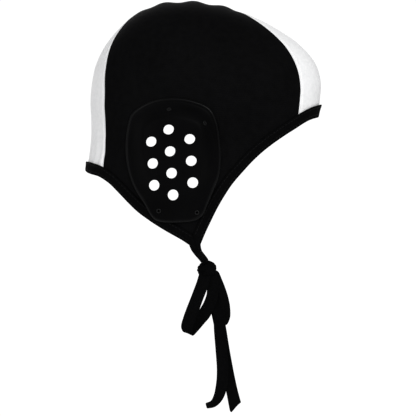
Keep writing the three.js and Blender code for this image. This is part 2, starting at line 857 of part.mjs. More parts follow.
const panelHoles = seats.filter((seat) => seat.holdsCap).map(eyeletHole);
const rightPanel = cut(sidePanel(), panelHoles);
add("side_panel_right", rightPanel, materials.darkCloth);
add("side_panel_left", mirrored(rightPanel), materials.darkCloth);
add("front_panel", palePanel(foreheadRows, frontRim), materials.paleCloth);
add("back_panel", palePanel(napeRows, backRim), materials.paleCloth);
add("front_binding", binding(frontRim), materials.tape);
add("back_binding", binding(backRim), materials.tape);
const rightGuard = earGuard();
add("ear_guard_right", rightGuard, materials.plastic);
add("ear_guard_left", mirrored(rightGuard), materials.plastic);
for (const { name, stack, normal, place } of seats) {
  for (const [side, mirror] of [["right", 1], ["left", -1]]) {
    const mesh = add("eyelet_" + name + "_" + side, eyelet(stack), materials.plastic);
    const flip = new THREE.Vector3(1, mirror, 1);
    mesh.position.copy(place).multiply(flip);
    mesh.quaternion.setFromUnitVectors(turningAxis, normal.clone().multiply(flip));
  }
}

const ties = new THREE.Group();
ties.position.z = earLineZ;
cap.add(ties);
const rightTie = tieInto(tieRoute);
add("tie_right", rightTie, materials.tape, ties);
add("tie_left", mirrored(rightTie), materials.tape, ties);
add("bow_knot", knot(0), materials.tape, ties);
add("bow_loop_rear", tieInto(rearLoopRoute), materials.tape, ties);
add("bow_loop_front", tieInto(frontLoopRoute), materials.tape, ties);
add("tie_end_rear", tieInto(rearEndRoute), materials.tape, ties);
add("tie_end_front", tieInto(frontEndRoute, frontEndCut), materials.tape, ties);

export default cap;
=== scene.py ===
import math
import bpy
import numpy as np
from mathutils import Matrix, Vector


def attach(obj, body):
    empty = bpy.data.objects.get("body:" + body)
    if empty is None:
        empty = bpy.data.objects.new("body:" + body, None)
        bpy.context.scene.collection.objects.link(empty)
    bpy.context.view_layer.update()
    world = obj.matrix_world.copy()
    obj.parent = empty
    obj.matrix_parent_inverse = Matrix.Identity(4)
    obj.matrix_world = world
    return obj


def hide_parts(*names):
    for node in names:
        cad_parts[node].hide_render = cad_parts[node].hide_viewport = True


# A ball player's swim cap, held up as a head holds it. Metres.
# +X is the forehead, -Y the wearer's right ear, +Z the crown, and the origin is inside the crown.

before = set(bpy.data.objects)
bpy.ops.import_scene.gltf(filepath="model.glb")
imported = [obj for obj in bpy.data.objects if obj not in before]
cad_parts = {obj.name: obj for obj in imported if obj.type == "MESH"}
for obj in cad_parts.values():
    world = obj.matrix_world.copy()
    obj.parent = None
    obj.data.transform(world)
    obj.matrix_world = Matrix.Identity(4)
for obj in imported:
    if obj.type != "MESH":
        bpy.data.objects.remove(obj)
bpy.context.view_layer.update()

MILLIMETRE = 0.001

# Head form, measured from the ear line
CROWN_HEIGHT = 0.102
FRONT_REACH = 0.1127
BACK_REACH = 0.0857
HALF_WIDTH = 0.077
CHEEK_DEPTH = 0.150
FULLNESS = 2.2
FULLNESS_RISE = 0.2

# Puckers along the crown's middle seam, whose pitch, middle and spread are degrees round the ear line
PUCKER_HEIGHT = 0.0009
PUCKER_PITCH = 14.5
PUCKER_MIDDLE = 88
PUCKER_SPREAD = 32
PUCKER_FADE = 0.35

# Cloth, tape and seams
CLOTH = 0.0012
CAD_WALL = 0.0015
EAR_LINE = CAD_WALL - CROWN_HEIGHT
TAPE = 0.0008
BINDING_WIDTH = 0.0095
BINDING_ROOM = 0.0005
FLAP_DROP = 0.1117
FOREHEAD_HALF = 0.0442
NAPE_HALF = 0.045
EDGE_INSET = 0.0012
SEAM_GAP = 0.00003
CROWN_CLEARANCE = math.radians(0.3)
SEAM_DEPTH = 0.0007
SEAM_REACH = 0.0016
SWELL_HEIGHT = 0.00018
SWELL_PLACE = 0.0028
SWELL_SPREAD = 0.0012

# Shallow gathers at the nape, whose start and ease are degrees round the ear line
GATHER_HEIGHT = 0.0004
GATHER_START = 186
GATHER_EASE = 16
GATHER_PITCH = 0.0021
GATHER_DRIFT = 0.6
DRIFT_PITCH = 0.006

# Seam allowances inside the cap
ALLOWANCE_DEPTH = 0.0011
ALLOWANCE_WIDTH = 0.0055
ALLOWANCE_THICKNESS = 0.0009
ALLOWANCE_START = 0.04

# Binding: its fold, its width near the midline, and its waves as height, pitch and phase
FOLD_REACH = 0.0016
FOLD_SQUARENESS = 0.6
MITRE_GAP = 0.0001
MITRE_ROOM = 2.16
EDGE_FLARE = 0.0009
FLARE_SPREAD = 0.02
TAPE_WAVES = ((0.00016, 0.00105, 0), (0.0001, 0.0027, 1))

# Stitches in the binding
STITCH_ROWS = (0.0026, 0.0078)
STITCH_PITCH = 0.0031
STITCH_LENGTH = 0.0024
STITCH_RADIUS = 0.00024
STITCH_FLATNESS = 0.6
STITCH_TIP = 0.02
STITCH_RISE = 0.00004
STITCH_LIFT = 0.00005
STITCHED_SHARE = 0.985

# Ear guards
EAR_SETBACK = 0.0142
EAR_DROP = 0.0344
GUARD_HALF = (0.0415, 0.0535)
GUARD_WALL = 0.0022
GUARD_SKIN = 0.0016
GUARD_SEAT = 0.00038
GUARD_FOOT = -0.0001
DOME_HEIGHT = 0.014
DOME_SHOULDER = 0.015
CHIN_START = 0.8
CHIN_REACH = 0.84
LIP_WIDTH = 0.003
LIP_POLISH = 0.35
POLISH_EDGE = 0.0006
EDGE_ROUND = 0.0011
BEAD_HEIGHT = 0.0005
BEAD_PLACE = 0.0017
BEAD_SPREAD = 0.0008

# How far beside the binding the guard starts to rise over it, and over what length: its wall, its foot
WALL_EASE = (0.009, 0.008)
FOOT_EASE = (0.001, 0.001)

# Guard's holes, as columns at a place across with a number of holes, and the cloth's opening under them
HOLE_RADIUS = 0.00475
HOLE_ROOM = 0.0004
HOLE_CUT = 0.03
HOLE_PITCH = 0.0188
HOLE_COLUMNS = ((-0.0156, 3), (0.0, 4), (0.0176, 3))
HOLE_TILT = 3.9
HOLE_LIP = 0.00055
LIP_PROUD = 0.00012
OPENING_CENTRE = (-0.0165, -0.0358)
OPENING_HALF = (0.029, 0.038)
OPENING_ROUND = 2.5

# Eyelets: each roll's radius and the radius of its round
OUTER_ROLL = (0.00155, 0.0006)
INNER_ROLL = (0.0013, 0.0005)
ROLL_LIFT = 0.0002
BARREL_RADIUS = 0.00125
BARREL_WALL = 0.0003
BARREL_REACH = 0.0006
EYELET_HOLE = 0.0015
EYELET_CUT = 0.012
NORMAL_STEP = 0.0006

# Ties and bow
TIE_WIDTH = 0.010
TIE_THICKNESS = 0.001
CUP_EASE = 8
FOLD_DEPTH = 0.0016
PINCH_REACH = 0.003
SEAL_THINNING = 0.45
SEAL_REACH = 0.0006
SLANT_REACH = 0.003
FRONT_END_CUT = 0.0032
END_ROUND = 0.0012
KNOT_PLACE = (14.8, 0.0, -128.6)
KNOT_RADII = (0.0082, 0.00775, 0.0081)
KNOT_CORE = 0.88
KNOT_TURN_REACH = 0.93

# Turns of tape round the knot: axis, width, and shift along the axis
KNOT_TURNS = (
    ((0.75, 0.1, 0.65), 0.0084, 0.0006),
    ((0.8, 0.45, -0.5), 0.0078, -0.0005),
    ((-0.25, 0.35, 1.0), 0.0072, 0.0012),
)
TURN_START = (0.3, 1, 0.2)
TURN_THICKNESS = 0.0014
TURN_CROWN = 0.0014
WRINKLE_HEIGHT = 0.00022
WRINKLE_PITCH = 0.00042

# View, floor and lights
FRAME_WIDTH = 0.3578
LENS = 1200.0
SENSOR = 36.0
AIM = (0.0155, -0.1757)
FAR_CLIP = 100.0
VIEW_GAMMA = 0.8
WHITE = (1, 1, 1, 1)
SEEN_LIGHT = 1.05
ROOM_LIGHT = 0.42
FLOOR_HEIGHT = -0.42
FLOOR_RADIUS = 1.1
FLOOR_SHADE = (0.86, 0.86, 0.86, 1)
FLOOR_ROUGHNESS = 0.8

# Softboxes: name, place, size and power
SOFTBOXES = (
    ("key", (0.75, -1.3, 0.75), 0.9, 18),
    ("fill", (-1.2, -1.0, 0.15), 1.2, 8),
    ("back", (-0.2, 1.5, 0.6), 1.2, 12),
)

# Side outline of the head form: along the reach to the front or back, up the crown or down the cheek
OUTLINE = (
    (0.971, 0.025), (0.995, 0.211), (1.0, 0.295), (0.986, 0.396), (0.952, 0.491), (0.831, 0.643),
    (0.685, 0.757), (0.537, 0.848), (0.385, 0.916), (0.234, 0.963), (0.079, 0.994), (-0.21, 0.992),
    (-0.412, 0.951), (-0.593, 0.864), (-0.744, 0.746), (-0.865, 0.61), (-0.947, 0.46), (-0.986, 0.302),
    (-0.999, 0.148), (-0.991, 0.0), (-0.991, -0.1), (-1.008, -0.21), (-1.037, -0.289), (-0.937, -0.639),
    (0.0, -1.0), (0.74, -0.556), (0.901, -0.246),
)

# Lower edges from the midline to the flap's tip: along the reach, down the flap's drop
FRONT_RIM = (
    (0.984, -0.023), (0.901, 0.0), (0.778, 0.077), (0.664, 0.154), (0.564, 0.231), (0.481, 0.308),
    (0.397, 0.4), (0.32, 0.492), (0.259, 0.585), (0.206, 0.678), (0.161, 0.77), (0.118, 0.862),
    (0.08, 0.954), (0.061, 1.0),
)
BACK_RIM = (
    (-1.064, 0.4), (-0.943, 0.423), (-0.873, 0.447), (-0.792, 0.492), (-0.702, 0.562), (-0.617, 0.631),
    (-0.522, 0.701), (-0.401, 0.77), (-0.261, 0.839), (-0.1, 0.909), (-0.01, 0.954), (0.08, 1.0),
)

# Seams beside the pale panels: angle up from the forehead, half width as a share of the panel's own
FOREHEAD_SEAM = (
    (3, 1.01), (10, 1.035), (17, 1.04), (24, 1.01), (31, 0.926), (38, 0.817), (45, 0.697),
    (52, 0.578), (58, 0.448), (62.5, 0.291), (65.5, 0.146), (67, 0.026),
)
NAPE_SEAM = (
    (203, 0.98), (193, 0.96), (183, 0.96), (173, 0.97), (163, 0.975), (154, 0.92), (146, 0.83),
    (139, 0.69), (132, 0.51), (126, 0.35), (121.5, 0.17), (119.5, 0.025),
)

# Outline of the ear guard, as shares of half its width and half its length
GUARD_OUTLINE = (
    (0.99, 0.04), (0.955, -0.24), (0.88, -0.4), (0.69, -0.75), (0.62, -0.87), (0.46, -0.965),
    (0.08, -1.0), (-0.28, -0.985), (-0.42, -0.93), (-0.6, -0.7), (-0.8, -0.45), (-0.94, -0.15),
    (-0.99, 0.22), (-0.94, 0.56), (-0.86, 0.74), (-0.66, 0.87), (-0.38, 0.965), (0.04, 1.0),
    (0.44, 0.95), (0.76, 0.83), (0.9, 0.62), (0.97, 0.3),
)

# Eyelets: name, across and up as shares of the guard's halves, and whether they hold the cap
EYELETS = (
    ("crown", -0.085, 0.81, False),
    ("brow", 0.645, 0.59, False),
    ("nape", -0.3, -0.81, True),
    ("cheek", 0.49, -0.835, True),
)

# Ties and bow in millimetres from the middle of the ear line: x, y, z, turn of the flat side, tilt,
# and, where the tape is gathered or spread, the share of its width
TIE_ROUTE = (
    (3.4, -52.7, -99.0, 0, 0, 1), (4.0, -49.8, -104.8, 0, 0, 1), (5.2, -46.6, -109.9, 0, 8, 0.86),
    (6.9, -41.6, -113.4, 0, 18, 0.72), (8.4, -35.0, -115.4, 0, 26, 0.68),
    (10.1, -26.6, -117.4, 0, 29, 0.66), (11.5, -18.0, -119.2, 0, 29, 0.66),
    (12.7, -10.5, -120.9, 0, 29, 0.66), (13.4, -4.2, -123.4, 0, 29, 0.66),
)
REAR_LOOP_ROUTE = (
    (13.4, -4.0, -130.0, 0, 0, 1), (11.2, -7.0, -139.0, 0, 0, 1.06), (7.8, -10.2, -148.1, 0, 0, 1.06),
    (5.0, -12.8, -155.4, 0, 0, 1.06), (2.4, -15.0, -162.6, 0, -4, 1.1),
    (-0.4, -16.4, -170.2, 0, -10, 1.08), (-2.7, -15.4, -178.0, 0, -18, 1),
    (-1.0, -12.2, -182.6, 0, -24, 0.86), (2.8, -9.6, -178.4, 0, -28, 0.94),
    (7.8, -8.4, -171.9, 0, -20, 1.02), (12.7, -7.4, -165.6, 0, -10, 1.08),
    (17.0, -6.4, -157.0, 0, 0, 1), (19.4, -5.4, -149.0, 0, 0, 1), (19.0, -4.2, -139.5, 0, 0, 1),
    (17.0, -3.0, -131.4, 0, 0, 1),
)
FRONT_LOOP_ROUTE = (
    (19.4, 4.2, -129.0, 30, 0), (23.8, 6.8, -137.0, 42, 0), (27.4, 8.4, -145.6, 45, 0),
    (29.8, 9.4, -153.4, 45, 0), (31.2, 10.2, -161.2, 45, 0), (31.1, 11.4, -169.8, 45, 0),
    (27.9, 14.2, -175.8, 45, 0), (24.2, 16.6, -168.8, 45, 0), (22.2, 15.8, -155.4, 45, 0),
    (19.8, 12.6, -142.6, 42, 0), (16.2, 6.2, -131.6, 30, 0),
)
REAR_END_ROUTE = (
    (16.6, -0.8, -132.0, 0, 0), (21.0, -1.8, -150.0, 0, 0), (24.7, -2.2, -165.1, 0, 0),
    (25.7, -2.4, -181.5, 0, 0), (27.0, -2.6, -197.8, 4, 0), (28.0, -3.0, -215.0, 8, 0),
    (27.2, -3.4, -227.0, 12, -8), (24.3, -3.7, -237.4, 34, -20), (20.0, -3.9, -243.0, 62, -28),
    (13.8, -4.0, -245.0, 80, -26),
)
FRONT_END_ROUTE = (
    (17.6, 1.4, -132.0, 0, 0, 1), (21.2, 1.6, -154.8, 0, 0, 1), (25.8, 1.8, -177.2, 0, 0, 1),
    (29.2, 2.2, -197.8, 0, 0, 1), (33.2, 2.8, -219.3, 0, 0, 1), (36.2, 3.2, -233.1, 0, 0, 1),
    (39.3, 3.4, -246.8, 0, 0, 1.1),
)

# How finely the forms are made
CHART_STEP = 1e-3
MAP_RADIUS = 0.1
RIM_STEPS = 40
RIM_SAMPLES = 600
PLACE_LIMIT = 0.6
TIE_STEPS = 8
END_RINGS = (0.6, 0.36, 0.18, 0.07)
TURN_STEPS = 56
CROWN_COLUMNS = 70
SEAM_COLUMNS = 56
RIM_COLUMNS = 46
SPREAD_SAMPLES = 160
SPREAD_ROWS = 22
EDGE_ROWS = np.array([0, 0.3, 0.6, 0.9, 1.2, 1.6, 2.1, 2.8, 3.6, 4.8, 6.5]) * MILLIMETRE
EDGE_SHARE = 0.5
PANEL_BODY = 0.9
BODY_ROWS = 60
POINT_ROWS = 14
PANEL_COLUMNS = 61
COLUMN_TURN = 1.35
ALLOWANCE_STEPS = 60
CROWN_STEPS = 50
BINDING_STEPS = 190
LEG_STEPS = 6
FOLD_STEPS = 11
TAPE_END_STEPS = 5
STITCH_SIDES = 6
STITCH_STEPS = 5
GUARD_ROWS = np.array([0, 0.08, 0.22, 0.42, 0.7, 1.0, 1.35, 1.7, 2.05, 2.5, 3.0, 3.7, 4.6]) * MILLIMETRE
GUARD_COLUMNS = 168
DOME_ROWS = 27
OUTLINE_STEPS = 30
RIM_MARKS = 120
HOLE_SIDES = 40
LIP_SIDES = 12


# View, floor and light

def add_camera():
    """A long lens square to the cap's right side, as the photo was taken."""
    data = bpy.data.cameras.new("camera")
    data.lens = LENS
    data.sensor_width = SENSOR
    data.clip_end = FAR_CLIP
    camera = bpy.data.objects.new("camera", data)
    bpy.context.scene.collection.objects.link(camera)
    camera.location = (AIM[0], -FRAME_WIDTH * LENS / SENSOR, AIM[1])
    camera.rotation_euler = (math.pi / 2, 0, 0)
    bpy.context.scene.camera = camera


def add_softbox(name, place, size, power):
    """A square soft light that faces the cap."""
    data = bpy.data.lights.new(name, "AREA")
    data.size = size
    data.energy = power
    lamp = bpy.data.objects.new(name, data)
    bpy.context.scene.collection.objects.link(lamp)
    lamp.location = place
    toward = Vector((0, 0, EAR_LINE)) - lamp.location
    lamp.rotation_euler = toward.to_track_quat("-Z", "Y").to_euler()


def white_light(tree, strength):
    node = tree.nodes.new("ShaderNodeBackground")
    node.inputs["Color"].default_value = WHITE
    node.inputs["Strength"].default_value = strength
    return node.outputs[0]


def light_world():
    """White behind the cap, and a dimmer white for what lights it."""
    world = bpy.data.worlds.new("studio")
    bpy.context.scene.world = world
    world.use_nodes = True
    tree = world.node_tree
    tree.nodes.clear()
    path = tree.nodes.new("ShaderNodeLightPath")
    mix = tree.nodes.new("ShaderNodeMixShader")
    out = tree.nodes.new("ShaderNodeOutputWorld")
    tree.links.new(path.outputs["Is Camera Ray"], mix.inputs["Fac"])
    tree.links.new(white_light(tree, ROOM_LIGHT), mix.inputs[1])
    tree.links.new(white_light(tree, SEEN_LIGHT), mix.inputs[2])
    tree.links.new(mix.outputs[0], out.inputs["Surface"])


def add_floor():
    bpy.ops.mesh.primitive_circle_add(
        vertices=128, radius=FLOOR_RADIUS, fill_type="NGON", location=(0, 0, FLOOR_HEIGHT)
    )
    floor = bpy.context.object
    floor.name = "floor"
    material = bpy.data.materials.new("pale_floor")
    material.use_nodes = True
    shader = material.node_tree.nodes["Principled BSDF"]
    shader.inputs["Base Color"].default_value = FLOOR_SHADE
    shader.inputs["Roughness"].default_value = FLOOR_ROUGHNESS
    floor.data.materials.append(material)


bpy.context.scene.view_settings.view_transform = "Standard"
bpy.context.scene.view_settings.gamma = VIEW_GAMMA
add_camera()
light_world()
for softbox in SOFTBOXES:
    add_softbox(*softbox)


# Curves and the head form

def smooth(share):
    t = np.clip(share, 0, 1)
    return t * t * (3 - 2 * t)


def hermite(t, start, end, slope_in, slope_out):
    return (
        start * (2 * t**3 - 3 * t**2 + 1)
        + slope_in * (t**3 - 2 * t**2 + t)
        + end * (3 * t**2 - 2 * t**3)
        + slope_out * (t**3 - t**2)
    )


def between(rows, shares):
    """Rows of numbers at places between the rows of a table, on a smooth curve through them."""
    rows = np.asarray(rows, float)
    place = np.asarray(shares, float) * (len(rows) - 1)
    start = np.minimum(len(rows) - 2, np.floor(place).astype(int))
    t = (place - start)[:, None]
    p = [rows[np.clip(start + k, 0, len(rows) - 1)] for k in (-1, 0, 1, 2)]
    return hermite(t, p[1], p[2], (p[2] - p[0]) / 2, (p[3] - p[1]) / 2)


def reach_rows():
    """The outline's points as angles and reaches, over three turns."""
    points = [
        (
            along * (FRONT_REACH if along > 0 else BACK_REACH),
            up * (CROWN_HEIGHT if up > 0 else CHEEK_DEPTH),
        )
        for along, up in OUTLINE
    ]
    rows = sorted((math.atan2(height, x), math.hypot(x, height)) for x, height in points)
    turned = [(angle + turn * 2 * math.pi, reach) for turn in (-1, 0, 1) for angle, reach in rows]
    return np.array(turned).T


REACH_ANGLES, REACHES = reach_rows()


def reach_at(theta):
    """The head form's reach round the ear line."""
    turned = (np.asarray(theta) + math.pi) % (2 * math.pi) - math.pi
    i = np.searchsorted(REACH_ANGLES, turned, side="right") - 1
    angle = [REACH_ANGLES[i + k] for k in (-1, 0, 1, 2)]
    reach = [REACHES[i + k] for k in (-1, 0, 1, 2)]
    span = angle[2] - angle[1]
    slope_in = (reach[2] - reach[0]) / (angle[2] - angle[0]) * span
    slope_out = (reach[3] - reach[1]) / (angle[3] - angle[1]) * span
    return hermite((turned - angle[1]) / span, reach[1], reach[2], slope_in, slope_out)


def fullness_at(theta):
    return FULLNESS + FULLNESS_RISE * np.sin(theta)


def pucker_at(theta, out_share):
    """Small puckers along the crown's middle seam."""
    turned = np.degrees(theta) - PUCKER_MIDDLE
    spread = smooth((PUCKER_SPREAD - np.abs(turned)) / PUCKER_PITCH)
    fade = smooth(1 - np.abs(out_share) / PUCKER_FADE)
    return PUCKER_HEIGHT * np.cos(2 * np.pi * turned / PUCKER_PITCH) * spread * fade


def face_point(chart):
    """The cap's outer face. Its chart is a disc with the right ear's pole at the centre."""
    u, v = chart[..., 0], chart[..., 1]
    theta = np.arctan2(v, u)
    phi = np.hypot(u, v) * math.pi / 2
    power = fullness_at(theta)
    across, out = np.sin(phi), np.cos(phi)
    scale = (np.abs(across) ** power + np.abs(out) ** power) ** (-1 / power)
    radius = (reach_at(theta) + pucker_at(theta, scale * out)) * scale * across
    return np.stack(
        [radius * np.cos(theta), -HALF_WIDTH * scale * out, EAR_LINE + radius * np.sin(theta)],
        axis=-1,
    )


def unit(vectors):
    return vectors / np.maximum(1e-12, np.linalg.norm(vectors, axis=-1, keepdims=True))


def face_normal(chart):
    step_u = np.array([CHART_STEP, 0])
    step_v = np.array([0, CHART_STEP])
    along = face_point(chart + step_u) - face_point(chart - step_u)
    up = face_point(chart + step_v) - face_point(chart - step_v)
    return unit(np.cross(along, up))


def on_cap(chart, lift=0.0):
    lift = np.broadcast_to(np.asarray(lift, float), chart.shape[:-1])
    return face_point(chart) + face_normal(chart) * lift[..., None]


def chart_of(ahead, out, height):
    theta = np.arctan2(height, ahead)
    phi = np.arctan2(np.hypot(ahead, height) / reach_at(theta), out / HALF_WIDTH)
    share = phi / (math.pi / 2)
    return np.stack([np.cos(theta) * share, np.sin(theta) * share], axis=-1)


def out_at(ahead, height):
    """How far out the head form is at a place seen from the side."""
    theta = np.arctan2(height, ahead)
    power = fullness_at(theta)
    share = np.minimum(1, np.hypot(ahead, height) / reach_at(theta))
    return HALF_WIDTH * (1 - share**power) ** (1 / power)


def chart_across(theta, out):
    """The chart's point at an angle round the ear line and a distance out from the midline."""
    power = fullness_at(theta)
    radius = reach_at(theta) * (1 - (np.abs(out) / HALF_WIDTH) ** power) ** (1 / power)
    return chart_of(radius * np.cos(theta), out, radius * np.sin(theta))


def walk(chart, direction, distance):
    point = face_point(chart) + direction * np.asarray(distance)[..., None]
    return chart_of(point[..., 0], -point[..., 1], point[..., 2] - EAR_LINE)


def curve_through(points, steps, closed=False):
    """A centripetal curve through points, with a number of steps from each to the next."""
    points = np.asarray(points, float)
    if closed:
        padded = np.vstack([points[-1:], points, points[:2]])
    else:
        first = 2 * points[0] - points[1]
        last = 2 * points[-1] - points[-2]
        padded = np.vstack([first, points, last])
    pieces = []
    for a, b, c, d in zip(padded, padded[1:], padded[2:], padded[3:]):
        gaps = [math.sqrt(np.linalg.norm(q - p)) for p, q in ((a, b), (b, c), (c, d))]
        slope_in = (b - a) / gaps[0] - (c - a) / (gaps[0] + gaps[1]) + (c - b) / gaps[1]
        slope_out = (c - b) / gaps[1] - (d - b) / (gaps[1] + gaps[2]) + (d - c) / gaps[2]
        t = np.linspace(0, 1, steps, endpoint=False)[:, None]
        pieces.append(hermite(t, b, c, slope_in * gaps[1], slope_out * gaps[1]))
    if not closed:
        pieces.append(points[-1:])
    return np.vstack(pieces)


def full_turn(steps):
    return np.linspace(0, 2 * math.pi, steps, endpoint=False)


def lengths_along(points):
    steps = np.linalg.norm(np.diff(points, axis=0), axis=1)
    return np.concatenate([[0], np.cumsum(steps)])


def resampled(points, shares):
    """Points at shares of a polyline's length."""
    along = lengths_along(points)
    return np.stack(
        [np.interp(np.asarray(shares) * along[-1], along, column) for column in points.T], axis=-1
    )


class Rim:
    """One lower edge of the cap, from the left flap's tip (-1) over the midline to the right's (1)."""

    def __init__(self, shape, reach, turn, widening, spread):
        rows = np.array(shape) * [reach, -FLAP_DROP]
        right = np.column_stack([rows[:, 0], -out_at(rows[:, 0], rows[:, 1]), rows[:, 1]])
        right[0, 1] = 0
        left = right[:0:-1] * [1, -1, 1]
        self.line = curve_through(np.vstack([left, right]), RIM_STEPS)
        self.length = lengths_along(self.line)[-1]
        self.turn = turn
        self.widening = widening
        self.spread = spread

    def chart(self, places):
        point = resampled(self.line, (1 + np.asarray(places)) / 2)
        return chart_of(point[..., 0], -point[..., 1], point[..., 2])

    def direction(self, places):
        places = np.asarray(places, float)
        ahead = face_point(self.chart(np.minimum(1, places + CHART_STEP)))
        return unit(ahead - face_point(self.chart(np.maximum(-1, places - CHART_STEP))))

    def inside(self, places, distances):
        """The chart's points at distances in from the fold, a row for each place."""
        chart = self.chart(places)
        inward = unit(np.cross(self.direction(places), face_normal(chart))) * self.turn
        distances = np.asarray(distances, float)
        rows = np.broadcast_to(distances, (len(chart), distances.shape[-1]))
        return walk(chart[:, None], inward[:, None], rows)

    def mitre(self, side, other, distances, clearance):
        """The same at a flap's tip, along the line that halves the corner between both edges."""
        away = -side * self.direction([side])[0]
        inward = unit(away - side * other.direction([side])[0])
        stretch = 1 / np.linalg.norm(np.cross(away, inward))
        chart = np.repeat(self.chart([side]), len(distances), axis=0)
        chart = walk(chart, inward, np.asarray(distances) * stretch)
        return walk(chart, away, np.full(len(distances), clearance * stretch)), stretch

    def place_at(self, out):
        """The place where the cloth's edge is a distance out from the midline."""
        places = np.linspace(0, PLACE_LIMIT, RIM_SAMPLES)
        edge = face_point(self.inside(places, [EDGE_INSET])[:, 0])
        return float(np.interp(out, -edge[:, 1], places))

    def run(self, places):
        """How far along the edge a place is from the midline."""
        return places * self.length / 2

    def tape_width(self, places):
        """How wide the tape lies near the midline, as a share of its width along the flaps."""
        return 1 + self.widening * np.exp(-((self.run(places) / self.spread) ** 2))


front_rim = Rim(FRONT_RIM, FRONT_REACH, turn=1, widening=0.2, spread=0.05)
back_rim = Rim(BACK_RIM, BACK_REACH, turn=-1, widening=-0.2, spread=0.016)


def seam_rows(rows, half, rim):
    """A seam's angle and half width, from the rim up to the panel's point."""
    start = face_point(rim.inside([rim.place_at(half)], [EDGE_INSET])[:, 0])[0]
    angle = math.atan2(start[2] - EAR_LINE, start[0])
    if rim is back_rim and angle < 0:
        angle += 2 * math.pi
    return np.array([(angle, half)] + [(math.radians(turn), share * half) for turn, share in rows])


forehead_rows = seam_rows(FOREHEAD_SEAM, FOREHEAD_HALF, front_rim)
nape_rows = seam_rows(NAPE_SEAM, NAPE_HALF, back_rim)


# Meshes

def make_piece(name, points, faces, uv):
    mesh = bpy.data.meshes.new(name)
    mesh.from_pydata(np.asarray(points).tolist(), [], [tuple(face) for face in faces])
    mesh.update()
    piece = bpy.data.objects.new(name, mesh)
    bpy.context.scene.collection.objects.link(piece)
    corners = np.zeros(len(mesh.loops), np.int32)
    mesh.loops.foreach_get("vertex_index", corners)
    layer = mesh.uv_layers.new(name="cloth")
    layer.data.foreach_set("uv", np.asarray(uv, np.float32)[corners].ravel())
    return piece


def outward(points, faces):
    """The same faces, turned to point out of the solid that they close."""
    volume = 0.0
    for face in faces:
        a = points[face[0]]
        for i in range(1, len(face) - 1):
            volume += float(np.dot(a, np.cross(points[face[i]], points[face[i + 1]])))
    return faces if volume > 0 else [tuple(reversed(face)) for face in faces]


def grid_faces(rows, columns, ring, start=0, flip=False, loop=False):
    """Faces of a grid of points, whose rows may be rings and whose last row may meet the first."""
    faces = []
    for i in range(rows if loop else rows - 1):
        here = start + i * columns
        below = start + (i + 1) % rows * columns
        for j in range(columns if ring else columns - 1):
            n = (j + 1) % columns
            face = (here + j, below + j, below + n, here + n)
            faces.append(face[::-1] if flip else face)
    return faces


def shell(name, outer, inner, ring, uv):
    """A closed wall between two matching grids of points."""
    rows, columns = outer.shape[:2]
    count = rows * columns
    faces = grid_faces(rows, columns, ring) + grid_faces(rows, columns, ring, count, True)
    border = []
    for j in range(columns if ring else columns - 1):
        n = (j + 1) % columns
        border.append((j, n))
        border.append(((rows - 1) * columns + n, (rows - 1) * columns + j))
    if not ring:
        for i in range(rows - 1):
            border.append(((i + 1) * columns, i * columns))
            border.append((i * columns + columns - 1, (i + 1) * columns + columns - 1))
    faces += [(a, b, count + b, count + a) for a, b in border]
    points = np.vstack([outer.reshape(-1, 3), inner.reshape(-1, 3)])
    return make_piece(name, points, outward(points, faces), np.vstack([uv.reshape(-1, 2)] * 2))


def swept(name, rings, uv, closed=False):
    """A solid through a row of closed rings of points, with flat ends or joined end to end."""
    count, sides = rings.shape[:2]
    points = rings.reshape(-1, 3)
    faces = grid_faces(count, sides, True, loop=closed)
    if not closed:
        faces.append(tuple(range(sides)))
        faces.append(tuple((count - 1) * sides + j for j in reversed(range(sides))))
    return make_piece(name, points, outward(points, faces), uv.reshape(-1, 2))


def ring_grid(centre, first, second, across, through):
    """Rings of points about a row of centres: across along a first axis, and through along a second."""
    return centre[:, None] + first[:, None] * across[..., None] + second[:, None] * through[..., None]


def strip_map(across, run):
    """A strip's own map in metres: across its section, then along its run."""
    along, over = np.meshgrid(run, across, indexing="ij")
    return np.stack([over, along], axis=-1)


def tape_section(width, thickness, sides=6, steps=12):
    """A flat tape's section with round edges: across and through."""
    half, depth = width / 2 - thickness / 2, thickness / 2
    turn = np.linspace(-math.pi / 2, math.pi / 2, sides)
    right = np.column_stack([half + depth * np.cos(turn), depth * np.sin(turn)])
    top = np.column_stack([np.linspace(half, -half, steps)[1:-1], np.full(steps - 2, depth)])
    return np.vstack([right, top, -right, -top])


def select_only(*pieces):
    bpy.ops.object.select_all(action="DESELECT")
    for piece in pieces:
        piece.select_set(True)
    bpy.context.view_layer.objects.active = pieces[0]


def soften(piece, degrees):
    """Smooth shading, save at edges sharper than an angle."""
    select_only(piece)
    bpy.ops.object.shade_smooth_by_angle(angle=math.radians(degrees))


def joined(name, pieces):
    select_only(*pieces)
    bpy.ops.object.join()
    piece = bpy.context.object
    piece.name = name
    piece.data.name = name
    return piece


def settle():
    """Takes the selected piece's place, turn and scale into its mesh."""
    bpy.ops.object.transform_apply(location=True, rotation=True, scale=True)


def mirrored(name, piece):
    """The same piece on the wearer's left."""
    select_only(piece)
    bpy.ops.object.duplicate()
    copy = bpy.context.object
    copy.name = name
    copy.data.name = name
    copy.scale.y = -1
    settle()
    bpy.ops.object.mode_set(mode="EDIT")
    bpy.ops.mesh.select_all(action="SELECT")
    bpy.ops.mesh.flip_normals()
    bpy.ops.object.mode_set(mode="OBJECT")
    return copy


def finish_piece(piece, material, slot, *nodes):
    piece.data.materials.clear()
    piece.data.materials.append(material)
    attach(piece, "root")
    if nodes:
        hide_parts(*nodes)


def finish_pair(right, name, ending, material, slot):
    """A piece on the wearer's right and its mirror on the left."""
    left = mirrored(name + "_left_" + ending, right)
    finish_piece(right, material, slot, name + "_right")
    finish_piece(left, material, slot, name + "_left")


# Materials

